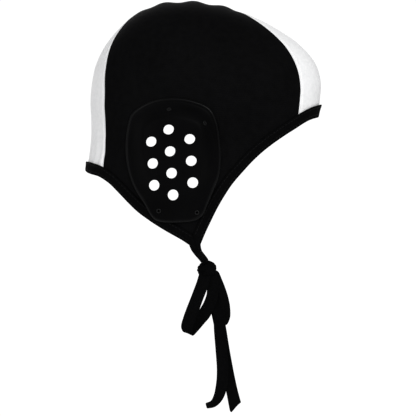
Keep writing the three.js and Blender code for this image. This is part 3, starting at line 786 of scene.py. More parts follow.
def new_group(name, numbers, outputs):
    """A node group that reads a place and named numbers."""
    group = bpy.data.node_groups.new(name, "ShaderNodeTree")
    group.interface.new_socket("Vector", in_out="INPUT", socket_type="NodeSocketVector")
    for label, value in numbers.items():
        socket = group.interface.new_socket(label, in_out="INPUT", socket_type="NodeSocketFloat")
        socket.default_value = value
    for label in outputs:
        group.interface.new_socket(label, in_out="OUTPUT", socket_type="NodeSocketFloat")
    return group, group.nodes.new("NodeGroupInput"), group.nodes.new("NodeGroupOutput")


def maths(tree, operation, *values):
    node = tree.nodes.new("ShaderNodeMath")
    node.operation = operation
    for socket, value in zip(node.inputs, values):
        if isinstance(value, (int, float)):
            socket.default_value = value
        else:
            tree.links.new(value, socket)
    return node.outputs[0]


def noise(tree, vector, scale, detail=2.0):
    node = tree.nodes.new("ShaderNodeTexNoise")
    node.inputs["Scale"].default_value = scale
    node.inputs["Detail"].default_value = detail
    tree.links.new(vector, node.inputs["Vector"])
    return node.outputs["Fac"]


def knit(tree, across, along):
    """Fine wales across a stretch knit, and the loops of its courses, which lean along them."""
    lean_depth, course_pace, loop_depth = 1.6, 1.3, 0.5
    rib = maths(tree, "ABSOLUTE", maths(tree, "SINE", across))
    lean = maths(tree, "MULTIPLY", rib, lean_depth)
    pace = maths(tree, "MULTIPLY", along, course_pace)
    loop = maths(tree, "SINE", maths(tree, "ADD", pace, lean))
    return maths(tree, "ADD", rib, maths(tree, "MULTIPLY", loop, loop_depth))


def ribs(tree, across, along):
    """The crossing ribs of a woven tape."""
    weft_depth = 0.6
    weft = maths(tree, "SINE", along)
    crossing = maths(tree, "MULTIPLY", maths(tree, "SINE", across), weft)
    return maths(tree, "ADD", crossing, maths(tree, "MULTIPLY", weft, weft_depth))


def weave_group(name, weave, height_share, fluff_scale):
    """A weave over a map in metres, as fine as its number of threads, with a faint fluff."""
    group, inside, outside = new_group(name, {"Threads": 5200.0}, ("Height", "Shade"))
    parts = group.nodes.new("ShaderNodeSeparateXYZ")
    group.links.new(inside.outputs["Vector"], parts.inputs[0])
    threads = inside.outputs["Threads"]
    across, along = (maths(group, "MULTIPLY", parts.outputs[axis], threads) for axis in (0, 1))
    height = weave(group, across, along)
    fluff = noise(group, inside.outputs["Vector"], fluff_scale)
    shade = maths(group, "ADD", maths(group, "MULTIPLY", height, height_share), fluff)
    group.links.new(height, outside.inputs["Height"])
    group.links.new(shade, outside.inputs["Shade"])
    return group


def handling_group():
    """Faint marks of handling: soft clouds and finer specks, from 0 to 1."""
    group, inside, outside = new_group("handling", {}, ("Clouds", "Specks"))
    for label, scale, detail in (("Clouds", 22.0, 3.0), ("Specks", 900.0, 1.0)):
        marks = noise(group, inside.outputs["Vector"], scale, detail)
        group.links.new(marks, outside.inputs[label])
    return group


KNIT = weave_group("stretch_knit", knit, height_share=0.25, fluff_scale=260.0)
RIBS = weave_group("woven_ribs", ribs, height_share=0.15, fluff_scale=420.0)
HANDLING = handling_group()


def place_group(tree, group, vector):
    node = tree.nodes.new("ShaderNodeGroup")
    node.node_tree = group
    tree.links.new(vector, node.inputs["Vector"])
    return node


def ramp(tree, factor, low, high, start=0.3, end=0.7):
    """A colour that runs from one to another with a factor."""
    node = tree.nodes.new("ShaderNodeValToRGB")
    node.color_ramp.elements[0].position = start
    node.color_ramp.elements[1].position = end
    node.color_ramp.elements[0].color = (*low, 1)
    node.color_ramp.elements[1].color = (*high, 1)
    tree.links.new(factor, node.inputs["Fac"])
    return node.outputs["Color"]


def spread_between(tree, factor, low, high):
    node = tree.nodes.new("ShaderNodeMapRange")
    node.inputs["To Min"].default_value = low
    node.inputs["To Max"].default_value = high
    tree.links.new(factor, node.inputs["Value"])
    return node.outputs["Result"]


def bump(tree, height, distance, strength):
    node = tree.nodes.new("ShaderNodeBump")
    node.inputs["Strength"].default_value = strength
    node.inputs["Distance"].default_value = distance
    tree.links.new(height, node.inputs["Height"])
    return node.outputs["Normal"]


def new_material(name, specular):
    """A material with its shader, its places, and the marks of handling on it."""
    material = bpy.data.materials.new(name)
    material.use_nodes = True
    tree = material.node_tree
    shader = tree.nodes["Principled BSDF"]
    shader.inputs["Specular IOR Level"].default_value = specular
    places = tree.nodes.new("ShaderNodeTexCoord")
    marks = place_group(tree, HANDLING, places.outputs["Object"])
    return material, shader.inputs, places.outputs, marks.outputs


def cloth_material(name, group, threads, low, high, rough, specular, depth, sheen=0.0):
    """A cloth whose weave follows the piece's own map."""
    material, surface, places, marks = new_material(name, specular)
    tree = material.node_tree
    weave = place_group(tree, group, places["UV"])
    weave.inputs["Threads"].default_value = threads
    shade = maths(tree, "ADD", weave.outputs["Shade"], marks["Clouds"])
    middle = maths(tree, "MULTIPLY", shade, 0.5)
    tree.links.new(ramp(tree, middle, low, high), surface["Base Color"])
    tree.links.new(spread_between(tree, marks["Clouds"], *rough), surface["Roughness"])
    tree.links.new(bump(tree, weave.outputs["Height"], depth, strength=0.6), surface["Normal"])
    surface["Sheen Weight"].default_value = sheen
    surface["Sheen Roughness"].default_value = 0.45
    return material


def plastic_material(name, low, high, rough, specular):
    """Black moulded plastic with a fine grain."""
    material, surface, _, marks = new_material(name, specular)
    tree = material.node_tree
    tree.links.new(ramp(tree, marks["Clouds"], low, high), surface["Base Color"])
    tree.links.new(spread_between(tree, marks["Clouds"], *rough), surface["Roughness"])
    tree.links.new(bump(tree, marks["Specks"], distance=0.00003, strength=0.4), surface["Normal"])
    return material


def polish_lip(material):
    """A thin polish on the guard's lip, where its map's first axis is the distance from the edge."""
    tree = material.node_tree
    surface = tree.nodes["Principled BSDF"].inputs
    places = tree.nodes.new("ShaderNodeTexCoord")
    parts = tree.nodes.new("ShaderNodeSeparateXYZ")
    tree.links.new(places.outputs["UV"], parts.inputs[0])
    polish = tree.nodes.new("ShaderNodeMapRange")
    polish.interpolation_type = "SMOOTHSTEP"
    polish.inputs["From Min"].default_value = LIP_WIDTH
    polish.inputs["From Max"].default_value = POLISH_EDGE
    polish.inputs["To Max"].default_value = LIP_POLISH
    tree.links.new(parts.outputs[0], polish.inputs["Value"])
    tree.links.new(polish.outputs[0], surface["Coat Weight"])
    surface["Coat Roughness"].default_value = 0.3


dark_cloth = cloth_material(
    "dark_stretch_cloth", KNIT, 5200.0, low=(0.003, 0.003, 0.0033), high=(0.0065, 0.0065, 0.007),
    rough=(0.7, 0.85), specular=0.035, depth=0.00008,
)
pale_cloth = cloth_material(
    "pale_stretch_cloth", KNIT, 5200.0, low=(0.84, 0.845, 0.85), high=(0.94, 0.94, 0.945),
    rough=(0.75, 0.9), specular=0.25, depth=0.00008, sheen=0.03,
)
black_tape = cloth_material(
    "black_woven_tape", RIBS, 6200.0, low=(0.0022, 0.0022, 0.0024), high=(0.0055, 0.0055, 0.006),
    rough=(0.7, 0.85), specular=0.035, depth=0.0001,
)
black_thread = cloth_material(
    "black_thread", RIBS, 9000.0, low=(0.007, 0.007, 0.0075), high=(0.014, 0.014, 0.015),
    rough=(0.5, 0.6), specular=0.12, depth=0.00005,
)
guard_plastic = plastic_material(
    "guard_plastic", low=(0.003, 0.003, 0.0033), high=(0.006, 0.006, 0.0065),
    rough=(0.45, 0.55), specular=0.035,
)
polish_lip(guard_plastic)
# The eyelets' black plastic has a base colour about three times lighter than the guard's. That
# lightness is a painted highlight; its lower roughness and higher specular are real gloss.
ring_plastic_painted_highlight = plastic_material(
    "eyelet_plastic_painted_highlight", low=(0.009, 0.009, 0.0095), high=(0.014, 0.014, 0.0145),
    rough=(0.25, 0.35), specular=0.2,
)


# Ties and bow

def route_points(route):
    """A tie's middle line in metres, its flat side's turn and tilt, and its share of the width."""
    rows = np.array(route, float)
    centres = curve_through(rows[:, :3] * MILLIMETRE, TIE_STEPS) + [0, 0, EAR_LINE]
    last = len(centres) - 1
    steps = np.concatenate([np.arange(last), last - np.array(END_RINGS), [last]])
    columns = between(rows[:, 3:], steps / last).T
    centres = np.column_stack([np.interp(steps, np.arange(last + 1), line) for line in centres.T])
    width = columns[2] if len(columns) > 2 else np.ones(len(centres))
    return centres, np.radians(columns[0]), np.radians(columns[1]), width


def tie_strip(name, route, cup, end_cut=0.0, pinch=0.0):
    """A flat tape along its route, cupped across, with a heat-sealed end that may slant."""
    centres, turn, tilt, width = route_points(route)
    along = unit(np.gradient(centres, axis=0))
    level = np.column_stack([np.cos(turn) * np.cos(tilt), np.sin(turn) * np.cos(tilt), np.sin(tilt)])
    spread = unit(level - along * np.sum(level * along, axis=1, keepdims=True))
    face = np.cross(along, spread)
    run = lengths_along(centres)
    left = run[-1] - run
    width = width * (1 - pinch * np.exp(-((np.minimum(run, left) / PINCH_REACH) ** 2)))
    across, through = tape_section(TIE_WIDTH, TIE_THICKNESS).T
    share = across / (TIE_WIDTH / 2)
    fold = FOLD_DEPTH * (1 - width)[:, None] * np.cos(math.pi * share)[None]
    ease = np.sin(np.minimum(1, run / run[-1] * CUP_EASE) * math.pi / 2)
    seal = 1 - SEAL_THINNING * np.exp(-left / SEAL_REACH)
    depth = through[None] * seal[:, None] + cup * ease[:, None] * share[None] ** 2 + fold
    inset = np.clip(END_ROUND - left, 0, END_ROUND)
    width = width - (END_ROUND - np.sqrt(END_ROUND**2 - inset**2)) / (TIE_WIDTH / 2)
    slant = -end_cut * np.exp(-left / SLANT_REACH)[:, None] * share[None]
    rings = ring_grid(centres, spread, face, across[None] * width[:, None], depth)
    rings = rings + along[:, None] * slant[..., None]
    piece = swept(name, rings, strip_map(across, run))
    soften(piece, 50)
    return piece, centres


def knot_turn(centre, radii, axis, width, shift):
    """One wrinkled turn of the tape round the knot."""
    axis = unit(np.array(axis, float))
    first = unit(np.cross(axis, TURN_START))
    second = np.cross(axis, first)
    turn = full_turn(TURN_STEPS)[:, None]
    away = first * np.cos(turn) + second * np.sin(turn)
    reach = 1 / np.sqrt(np.sum((away / radii) ** 2, axis=1, keepdims=True))
    line = away * reach + axis * shift
    across, through = tape_section(width, TURN_THICKNESS).T
    wrinkle = WRINKLE_HEIGHT * np.sin(across / WRINKLE_PITCH)[None] * (1 + 0.5 * np.sin(3 * turn))
    depth = through[None] + wrinkle - TURN_CROWN * (across / (width / 2))[None] ** 2
    rings = ring_grid(line, axis[None], away, across[None], depth)
    return swept("turn", rings + centre, strip_map(across, turn[:, 0] * reach.mean()), closed=True)


def bow_knot():
    """A rounded core with turns of tape pulled tight round it."""
    centre = np.array(KNOT_PLACE) * MILLIMETRE + [0, 0, EAR_LINE]
    radii = np.array(KNOT_RADII)
    bpy.ops.object.select_all(action="DESELECT")
    bpy.ops.mesh.primitive_uv_sphere_add(segments=32, ring_count=20, radius=1, location=centre)
    core = bpy.context.object
    core.scale = radii * KNOT_CORE
    core.data.uv_layers[0].name = "cloth"
    settle()
    turns = [knot_turn(centre, radii * KNOT_TURN_REACH, *turn) for turn in KNOT_TURNS]
    knot = joined("bow_knot_tape", [core, *turns])
    soften(knot, 50)
    return knot


knot = bow_knot()
finish_piece(knot, black_tape, "tape", "bow_knot")

right_strand, right_line = tie_strip("tie_right_tape", TIE_ROUTE, cup=0.0003)
left_strand = mirrored("tie_left_tape", right_strand)
left_line = right_line * [1, -1, 1]
rear_loop, rear_loop_line = tie_strip("bow_loop_rear_tape", REAR_LOOP_ROUTE, cup=-0.0007)
front_loop, front_loop_line = tie_strip(
    "bow_loop_front_tape", FRONT_LOOP_ROUTE, cup=-0.0005, pinch=0.5
)
rear_end, rear_end_line = tie_strip("tie_end_rear_tape", REAR_END_ROUTE, cup=0.0004)
front_end, front_end_line = tie_strip(
    "tie_end_front_tape", FRONT_END_ROUTE, cup=0.0004, end_cut=FRONT_END_CUT
)

for piece, line, node, far_end, lay, with_pieces in (
    (right_strand, right_line, "tie_right", "knot", "taut", [knot]),
    (left_strand, left_line, "tie_left", "knot", "taut", []),
    (rear_loop, rear_loop_line, "bow_loop_rear", "object", "hanging", []),
    (front_loop, front_loop_line, "bow_loop_front", "object", "hanging", []),
    (rear_end, rear_end_line, "tie_end_rear", "bare", "hanging", []),
    (front_end, front_end_line, "tie_end_front", "bare", "hanging", []),
):
    finish_piece(piece, black_tape, "tape", node)


# Cloth panels

def seam_lift(distance):
    """The cloth rolls under at a seam, with a slight swell beside it."""
    roll = -SEAM_DEPTH * (1 - smooth(distance / SEAM_REACH))
    swell = SWELL_HEIGHT * np.exp(-(((distance - SWELL_PLACE) / SWELL_SPREAD) ** 2))
    return roll + swell


def seam_chart(rows, shares, clearance):
    row = between(rows, shares)
    return chart_across(row[:, 0], row[:, 1] + clearance)


def cloth_wall(name, chart, lift, ring, uv):
    """A panel of cloth that lies on the head form."""
    piece = shell(name, on_cap(chart, lift), on_cap(chart, lift - CLOTH), ring, uv)
    soften(piece, 40)
    return piece


def side_edge():
    """A side panel's edge: over the crown, down the nape, round the flap and up the forehead."""
    crown = np.linspace(
        forehead_rows[-1, 0] + CROWN_CLEARANCE, nape_rows[-1, 0] - CROWN_CLEARANCE, CROWN_COLUMNS
    )
    front_foot = front_rim.place_at(forehead_rows[0, 1])
    back_foot = back_rim.place_at(nape_rows[0, 1])
    down = np.linspace(1, 0, SEAM_COLUMNS)
    return np.vstack([
        chart_across(crown, np.full(CROWN_COLUMNS, SEAM_GAP)),
        seam_chart(nape_rows, down, SEAM_GAP)[1:],
        back_rim.inside(np.linspace(back_foot, 1, RIM_COLUMNS)[1:-1], [EDGE_INSET])[:, 0],
        back_rim.mitre(1, front_rim, [EDGE_INSET], 0)[0],
        front_rim.inside(np.linspace(1, front_foot, RIM_COLUMNS)[1:], [EDGE_INSET])[:, 0],
        seam_chart(forehead_rows, down[::-1], SEAM_GAP)[1:-1],
    ])


def ear_opening(edge):
    """The opening's rim, at the point that faces each point of the panel's edge."""
    point = face_point(edge)
    direction = np.arctan2(
        point[:, 2] - EAR_LINE - OPENING_CENTRE[1], point[:, 0] - OPENING_CENTRE[0]
    )
    across, up = np.cos(direction), np.sin(direction)
    powers = (
        np.abs(across / OPENING_HALF[0]) ** OPENING_ROUND
        + np.abs(up / OPENING_HALF[1]) ** OPENING_ROUND
    )
    radius = powers ** (-1 / OPENING_ROUND)
    ahead = OPENING_CENTRE[0] + radius * across
    height = OPENING_CENTRE[1] + radius * up
    return chart_of(ahead, out_at(ahead, height), height)


def side_panel():
    """A dark side panel, in rows from its edge in to the ear opening."""
    edge = side_edge()
    opening = ear_opening(edge)
    samples = np.linspace(0, 1, SPREAD_SAMPLES)
    fine = edge[None] * (1 - samples[:, None, None]) + opening[None] * samples[:, None, None]
    steps = np.linalg.norm(np.diff(face_point(fine), axis=0), axis=2)
    along = np.vstack([np.zeros(len(edge)), np.cumsum(steps, axis=0)])
    chart, depth = [], []
    for j, total in enumerate(along[-1]):
        near = EDGE_ROWS * min(1, EDGE_SHARE * total / EDGE_ROWS[-1])
        rows = np.concatenate([near, np.linspace(near[-1], total, SPREAD_ROWS)[1:]])
        share = np.interp(rows, along[:, j], samples)[:, None]
        chart.append(edge[j] * (1 - share) + opening[j] * share)
        depth.append(rows)
    chart = np.swapaxes(np.array(chart), 0, 1)
    lift = seam_lift(np.array(depth).T)
    return cloth_wall("side_panel_right_cloth", chart, lift, True, chart * MAP_RADIUS)


def nape_gathers(theta, out):
    """Shallow gathers where the nape's tape draws the cloth in, from -1 to 1."""
    near = smooth((np.degrees(theta) - GATHER_START) / GATHER_EASE)
    return near * np.sin(out / GATHER_PITCH + GATHER_DRIFT * np.sin(out / DRIFT_PITCH))


def pale_panel(name, rows, rim, gathers):
    """A pale panel, from its rim up to the point between the side panels."""
    body = np.linspace(0, PANEL_BODY, BODY_ROWS)
    shares = np.concatenate([body, np.linspace(PANEL_BODY, 1, POINT_ROWS)[1:]])
    row = between(rows, shares)
    spread = np.sin(np.linspace(-COLUMN_TURN, COLUMN_TURN, PANEL_COLUMNS)) / math.sin(COLUMN_TURN)
    places = np.array([
        math.copysign(rim.place_at(abs(share) * rows[0, 1]), share) for share in spread
    ])
    foot = face_point(rim.inside(places, [EDGE_INSET])[:, 0])
    foot_angle = np.arctan2(foot[:, 2] - EAR_LINE, foot[:, 0])
    if rim is back_rim:
        foot_angle = foot_angle % (2 * math.pi)
    theta = row[:, :1] + (1 - shares[:, None]) * (foot_angle[None] - rows[0, 0])
    half = row[:, 1:] - SEAM_GAP
    out = spread[None] * half
    depth = (1 - np.abs(spread[None])) * np.maximum(half, MILLIMETRE)
    lift = seam_lift(depth) + gathers * nape_gathers(theta, out)
    uv = np.stack([out, theta * MAP_RADIUS], axis=-1)
    return cloth_wall(name, chart_across(theta, out), lift, False, uv)


finish_pair(side_panel(), "side_panel", "cloth", dark_cloth, "dark_cloth")
front_panel = pale_panel("front_panel_cloth", forehead_rows, front_rim, gathers=0)
back_panel = pale_panel("back_panel_cloth", nape_rows, back_rim, gathers=GATHER_HEIGHT)
finish_piece(front_panel, pale_cloth, "pale_cloth", "front_panel")
finish_piece(back_panel, pale_cloth, "pale_cloth", "back_panel")


# Seam allowances inside the cap

def seam_strip(name, chart):
    """An overlocked strip of cloth along the inside of a seam."""
    centre = on_cap(chart, -CLOTH - ALLOWANCE_DEPTH)
    along = unit(np.gradient(centre, axis=0))
    normal = face_normal(chart)
    spread = unit(np.cross(normal, along))
    across, through = tape_section(ALLOWANCE_WIDTH, ALLOWANCE_THICKNESS).T
    rings = ring_grid(centre, spread, normal, across[None], through[None])
    return swept(name, rings, strip_map(across, lengths_along(centre)))


def seam_allowances():
    """The strips along the crown's seam and both sides of each pale panel."""
    shares = np.linspace(ALLOWANCE_START, 1, ALLOWANCE_STEPS)
    crown = np.linspace(forehead_rows[-1, 0], nape_rows[-1, 0], CROWN_STEPS)
    strips = [seam_strip("crown_strip", chart_across(crown, np.zeros(CROWN_STEPS)))]
    for rows in (forehead_rows, nape_rows):
        for side in (1, -1):
            row = between(rows, shares)
            strips.append(seam_strip("side_strip", chart_across(row[:, 0], side * row[:, 1])))
    piece = joined("seam_allowances", strips)
    soften(piece, 50)
    return piece


finish_piece(seam_allowances(), dark_cloth, "dark_cloth")


# Bindings and their stitches

def binding_section():
    """The folded tape, as distance in from the fold and lift: round its outside, then its inside."""
    outer = BINDING_ROOM + TAPE
    inner = -CAD_WALL - BINDING_ROOM - TAPE
    middle, radius = (outer + inner) / 2, (outer - inner) / 2
    turn = np.linspace(math.pi / 2, 3 * math.pi / 2, FOLD_STEPS)
    square = np.sign(np.sin(turn)) * np.abs(np.sin(turn)) ** FOLD_SQUARENESS
    depth = np.abs(np.cos(turn)) ** FOLD_SQUARENESS
    end = BINDING_WIDTH - TAPE / 2
    legs = np.linspace(end, FOLD_REACH, LEG_STEPS + 1)[:-1]
    cap = np.linspace(0, math.pi, TAPE_END_STEPS)[1:-1]

    def line(reach):
        across = FOLD_REACH - (FOLD_REACH + reach - radius) * depth
        return np.vstack([
            np.column_stack([legs, np.full(LEG_STEPS, middle + reach)]),
            np.column_stack([across, middle + reach * square]),
            np.column_stack([legs[::-1], np.full(LEG_STEPS, middle - reach)]),
        ])

    def tape_end(height):
        return np.column_stack([end + TAPE / 2 * np.sin(cap), height - TAPE / 2 * np.cos(cap)])

    return np.vstack([
        line(radius), tape_end(middle - radius + TAPE / 2),
        line(radius - TAPE)[::-1], tape_end(middle + radius - TAPE / 2),
    ])


def binding_places(rim, other):
    """Places along an edge, clear of the mitres at the flaps' tips."""
    stretch = rim.mitre(1, other, [0], 0)[1]
    clear = 1 - MITRE_ROOM * BINDING_WIDTH * math.sqrt(stretch**2 - 1) / rim.length
    return np.linspace(-clear, clear, BINDING_STEPS)


def tape_waves(rim, places, share):
    """Slight waves where the tape was stretched as it was sewn, at shares of its width."""
    run = rim.run(places)
    return sum(height * np.sin(run / pitch + phase) for height, pitch, phase in TAPE_WAVES) * share


def tape_flare(rim, places, share):
    """The outer side's free edge stands off a little near the midline."""
    return EDGE_FLARE * np.exp(-((rim.run(places) / FLARE_SPREAD) ** 2)) * share**2


def binding(name, rim, other):
    """The tape folded over one lower edge, mitred at the flaps' tips."""
    section = binding_section()
    distance, lift = section[:, 0], section[:, 1]
    places = binding_places(rim, other)
    chart = rim.inside(places, distance[None] * rim.tape_width(places)[:, None])
    share = distance / BINDING_WIDTH
    middle = lift.mean()
    waves = tape_waves(rim, places[:, None], share) * np.sign(lift - middle)
    flare = tape_flare(rim, places[:, None], share) * smooth((lift - middle) / TAPE)
    body = on_cap(chart, lift + flare + waves)
    tips = [on_cap(rim.mitre(side, other, distance, MITRE_GAP)[0], lift) for side in (-1, 1)]
    rings = np.concatenate([tips[0][None], body, tips[1][None]])
    run = rim.run(np.concatenate([[-1], places, [1]]))
    piece = swept(name, rings, strip_map(lengths_along(section), run))
    soften(piece, 50)
    return piece


def stitch_line(start, end, normal):
    """Small flattened stitches, each from one point to another."""
    along = unit(end - start)
    spread = np.cross(normal, along)
    share = np.linspace(0, 1, STITCH_STEPS)
    radius = STITCH_RADIUS * np.sqrt(np.clip(1 - (2 * share - 1) ** 4, STITCH_TIP, 1))
    turn = full_turn(STITCH_SIDES)
    middle = start[:, None] + (end - start)[:, None] * share[None, :, None]
    middle = middle + normal[:, None] * (STITCH_RISE * np.sin(math.pi * share))[None, :, None]
    offset = (
        spread[:, None, None] * np.cos(turn)[None, None, :, None]
        + normal[:, None, None] * (STITCH_FLATNESS * np.sin(turn))[None, None, :, None]
    )
    points = middle[:, :, None] + offset * radius[None, :, None, None]
    return points.reshape(-1, 3)


def stitch_faces(count):
    """The faces of a number of stitches, each a closed ring of rings."""
    size = STITCH_STEPS * STITCH_SIDES
    one = grid_faces(STITCH_STEPS, STITCH_SIDES, True, flip=True)
    one.append(tuple(reversed(range(STITCH_SIDES))))
    one.append(tuple(range(size - STITCH_SIDES, size)))
    return [tuple(k * size + corner for corner in face) for k in range(count) for face in one]


def binding_stitches(name, rim, other):
    """Two rows of stitches through the tape, seen on its outside and its inside."""
    limit = binding_places(rim, other)[-1] * STITCHED_SHARE
    count = int(limit * rim.length / STITCH_PITCH)
    starts = np.linspace(-limit, limit, count)
    ends = starts + 2 * STITCH_LENGTH / rim.length
    above = BINDING_ROOM + TAPE + STITCH_LIFT
    lines = []
    for inset in STITCH_ROWS:
        share = inset / BINDING_WIDTH
        charts, outer, inner = [], [], []
        for places in (starts, ends):
            chart = rim.inside(places, (inset * rim.tape_width(places))[:, None])[:, 0]
            waves = tape_waves(rim, places, share)
            charts.append(chart)
            outer.append(on_cap(chart, above + waves + tape_flare(rim, places, share)))
            inner.append(on_cap(chart, -CAD_WALL - above - waves))
        normal = face_normal((charts[0] + charts[1]) / 2)
        lines += [stitch_line(*outer, normal), stitch_line(*inner, normal)]
    points = np.vstack(lines)
    piece = make_piece(name, points, stitch_faces(len(lines) * count), points[:, [0, 2]])
    soften(piece, 60)
    return piece


for label, rim, other in (("front", front_rim, back_rim), ("back", back_rim, front_rim)):
    finish_piece(binding(label + "_binding_tape", rim, other), black_tape, "tape", label + "_binding")
    finish_piece(binding_stitches(label + "_binding_stitches", rim, other), black_thread, "tape")


# Ear guards

guard_line = curve_through(np.array(GUARD_OUTLINE) * GUARD_HALF, OUTLINE_STEPS, closed=True)
guard_angles = np.arctan2(guard_line[:, 1], guard_line[:, 0])
guard_order = np.argsort(guard_angles)
rim_points = np.vstack([
    face_point(rim.chart(np.linspace(0, 1, RIM_MARKS))) for rim in (front_rim, back_rim)
])


def guard_radius(direction):
    turned = (np.asarray(direction) + math.pi) % (2 * math.pi) - math.pi
    reach = np.hypot(guard_line[:, 0], guard_line[:, 1])[guard_order]
    return np.interp(turned, guard_angles[guard_order], reach, period=2 * math.pi)


def over_tape(across, up, margin, ease):
    """How high the binding's tape lifts what lies over it, eased over a margin beside it."""
    ahead, height = across - EAR_SETBACK, up - EAR_DROP
    face = np.stack([ahead, -out_at(ahead, height), EAR_LINE + height], axis=-1)
    to_rim = np.min(np.linalg.norm(face[..., None, :] - rim_points, axis=-1), axis=-1)
    return (TAPE + BINDING_ROOM) * smooth((BINDING_WIDTH + margin - to_rim) / ease)


def guard_seat(across, up):
    return GUARD_SEAT + over_tape(across, up, *WALL_EASE)


def guard_dome(across, up):
    to_edge = guard_radius(np.arctan2(up, across)) - np.hypot(across, up)
    shoulder = smooth((to_edge - LIP_WIDTH) / DOME_SHOULDER)
    chin = smooth((up + CHIN_START * GUARD_HALF[1]) / (CHIN_REACH * GUARD_HALF[1]))
    return DOME_HEIGHT * shoulder * chin


def guard_point(across, up, depth):
    """Out to the head form, up by the seat over the cloth and tape, the dome, and a depth."""
    out = out_at(across - EAR_SETBACK, up - EAR_DROP)
    reach = out + guard_seat(across, up) + guard_dome(across, up) + depth
    return np.stack([across - EAR_SETBACK, -reach, EAR_LINE + up - EAR_DROP], axis=-1)


def guard_edge_profile(distance):
    """The outer face's height over the seat: a rounded edge, a fine bead, then the plain wall."""
    edge = np.clip(distance / EDGE_ROUND, 0, 1)
    rounded = GUARD_WALL * np.sqrt(1 - (1 - edge) ** 2)
    bead = BEAD_HEIGHT * np.exp(-(((distance - BEAD_PLACE) / BEAD_SPREAD) ** 2))
    return rounded + bead


def guard_shell():
    """The guard's wall, from an edge that stands on the cloth in to the dome's middle."""
    direction = full_turn(GUARD_COLUMNS)
    radius = guard_radius(direction)
    radii = [radius - row for row in GUARD_ROWS]
    radii += [(radius - GUARD_ROWS[-1]) * (1 - share) for share in np.linspace(0, 1, DOME_ROWS)[1:-1]]
    radii = np.array(radii)
    distance = radius[None] - radii
    across, up = radii * np.cos(direction), radii * np.sin(direction)
    outer = guard_point(across, up, guard_edge_profile(distance))
    inner = guard_point(across, up, GUARD_WALL - GUARD_SKIN)
    drop = over_tape(across[0], up[0], *WALL_EASE) - over_tape(across[0], up[0], *FOOT_EASE)
    foot = GUARD_FOOT - GUARD_SEAT - drop
    outer[0] = guard_point(across[0], up[0], foot)
    inner[0] = guard_point(across[1], up[1], foot)
    rows = len(radii)
    count = rows * GUARD_COLUMNS
    last = count - GUARD_COLUMNS
    faces = grid_faces(rows, GUARD_COLUMNS, True) + grid_faces(rows, GUARD_COLUMNS, True, count, True)
    for j in range(GUARD_COLUMNS):
        n = (j + 1) % GUARD_COLUMNS
        faces.append((j, n, count + n, count + j))
        faces.append((last + j, last + n, 2 * count))
        faces.append((count + last + n, count + last + j, 2 * count + 1))
    zero = np.zeros(2)
    middles = guard_point(zero, zero, np.array([GUARD_WALL, GUARD_WALL - GUARD_SKIN]))
    points = np.vstack([outer.reshape(-1, 3), inner.reshape(-1, 3), middles])
    around = np.broadcast_to(direction[None], distance.shape)
    grid_uv = np.stack([distance, around], axis=-1).reshape(-1, 2)
    uv = np.vstack([grid_uv, grid_uv, np.full((2, 2), GUARD_HALF[0])])
    return make_piece("ear_guard_right_plastic", points, outward(points, faces), uv)


def hole_places():
    """The holes' middles, across and up from the guard's own middle."""
    lean = math.radians(HOLE_TILT)
    shift = np.array([OPENING_CENTRE[0] + EAR_SETBACK, OPENING_CENTRE[1] + EAR_DROP])
    for side, count in HOLE_COLUMNS:
        for row in range(count):
            rise = (row - (count - 1) / 2) * HOLE_PITCH
            yield shift + [
                side * math.cos(lean) - rise * math.sin(lean),
                side * math.sin(lean) + rise * math.cos(lean),
            ]


def hole_lip(place):
    """The rounded rim of one hole, which follows the dome."""
    turn, roll = full_turn(TURN_STEPS), full_turn(LIP_SIDES)
    ring = HOLE_RADIUS + HOLE_LIP
    across, up = place[0] + ring * np.cos(turn), place[1] + ring * np.sin(turn)
    centre = guard_point(across, up, GUARD_WALL - GUARD_SKIN / 2)
    away = np.column_stack([np.cos(turn), np.zeros(TURN_STEPS), np.sin(turn)])
    out = np.array([[0, -1.0, 0]])
    wide, deep = HOLE_LIP * np.cos(roll), (GUARD_SKIN / 2 + LIP_PROUD) * np.sin(roll)
    rings = ring_grid(centre, away, out, wide[None], deep[None])
    lip = swept("hole_lip", rings, np.full(rings.shape[:2] + (2,), GUARD_HALF[0]), closed=True)
    soften(lip, 60)
    return lip


def eyelet_seats():
    """Each eyelet's name, place and direction out of the guard, and the stack that it clamps."""
    for name, across_share, up_share, holds_cap in EYELETS:
        across, up = across_share * GUARD_HALF[0], up_share * GUARD_HALF[1]
        span = across + NORMAL_STEP * np.array([-1, 1, 0, 0, 0])
        rise = up + NORMAL_STEP * np.array([0, 0, -1, 1, 0])
        around = guard_point(span, rise, GUARD_WALL)
        normal = unit(np.cross(around[1] - around[0], around[3] - around[2]))
        lean = abs(normal[1])
        seat = float(guard_seat(span, rise)[-1])
        stack = GUARD_WALL * lean + (seat * lean + CAD_WALL if holds_cap else 0)
        yield name, Vector(around[-1]), Vector(normal), stack


def cutter(place, normal, radius, depth):
    bpy.ops.mesh.primitive_cylinder_add(
        vertices=HOLE_SIDES, radius=radius, depth=depth, location=place
    )
    tool = bpy.context.object
    tool.rotation_euler = Vector(normal).to_track_quat("Z", "Y").to_euler()
    settle()
    return tool


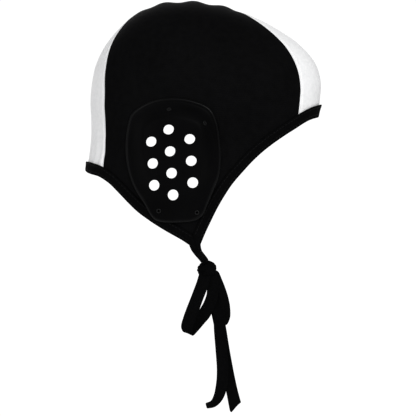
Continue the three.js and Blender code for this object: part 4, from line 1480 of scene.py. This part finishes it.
def ear_guard():
    """The right guard, with its holes and its eyelets' holes cut through the wall."""
    guard = guard_shell()
    bpy.ops.object.select_all(action="DESELECT")
    tools = []
    for place in hole_places():
        centre = guard_point(place[:1], place[1:], GUARD_WALL)[0]
        tools.append(cutter(centre, (0, -1, 0), HOLE_RADIUS + HOLE_ROOM, HOLE_CUT))
    for _, place, normal, _ in eyelet_seats():
        tools.append(cutter(place, normal, EYELET_HOLE, EYELET_CUT))
    tool = joined("holes", tools)
    cut = guard.modifiers.new("holes", "BOOLEAN")
    cut.operation = "DIFFERENCE"
    cut.solver = "EXACT"
    cut.object = tool
    select_only(guard)
    bpy.ops.object.modifier_apply(modifier=cut.name)
    bpy.data.objects.remove(tool)
    soften(guard, 35)
    lips = [hole_lip(place) for place in hole_places()]
    return joined("ear_guard_right_plastic", [guard, *lips])


def eyelet(name, place, normal, stack):
    """A rolled ring on the guard, its barrel, and the roll that closes it inside."""
    bpy.ops.object.select_all(action="DESELECT")
    rolls = []
    for depth, (reach, roll) in ((ROLL_LIFT, OUTER_ROLL), (-stack - ROLL_LIFT, INNER_ROLL)):
        bpy.ops.mesh.primitive_torus_add(
            major_radius=reach, minor_radius=roll, major_segments=36, minor_segments=12,
            location=(0, 0, depth),
        )
        rolls.append(bpy.context.object)
    bpy.ops.mesh.primitive_cylinder_add(
        vertices=28, radius=BARREL_RADIUS, depth=stack + BARREL_REACH, end_fill_type="NOTHING",
        location=(0, 0, -stack / 2),
    )
    barrel = bpy.context.object
    wall = barrel.modifiers.new("wall", "SOLIDIFY")
    wall.thickness = BARREL_WALL
    bpy.ops.object.modifier_apply(modifier=wall.name)
    ring = joined(name, [*rolls, barrel])
    settle()
    ring.rotation_euler = normal.to_track_quat("Z", "Y").to_euler()
    ring.location = place
    settle()
    soften(ring, 50)
    return ring


finish_pair(ear_guard(), "ear_guard", "plastic", guard_plastic, "guard_plastic")
# The rings take the eyelet plastic, whose lighter base colour is a painted highlight.
for label, place, normal, stack in eyelet_seats():
    name = "eyelet_" + label
    ring = eyelet(name + "_right_ring", place, normal, stack)
    finish_pair(ring, name, "ring", ring_plastic_painted_highlight, "guard_plastic")

add_floor()
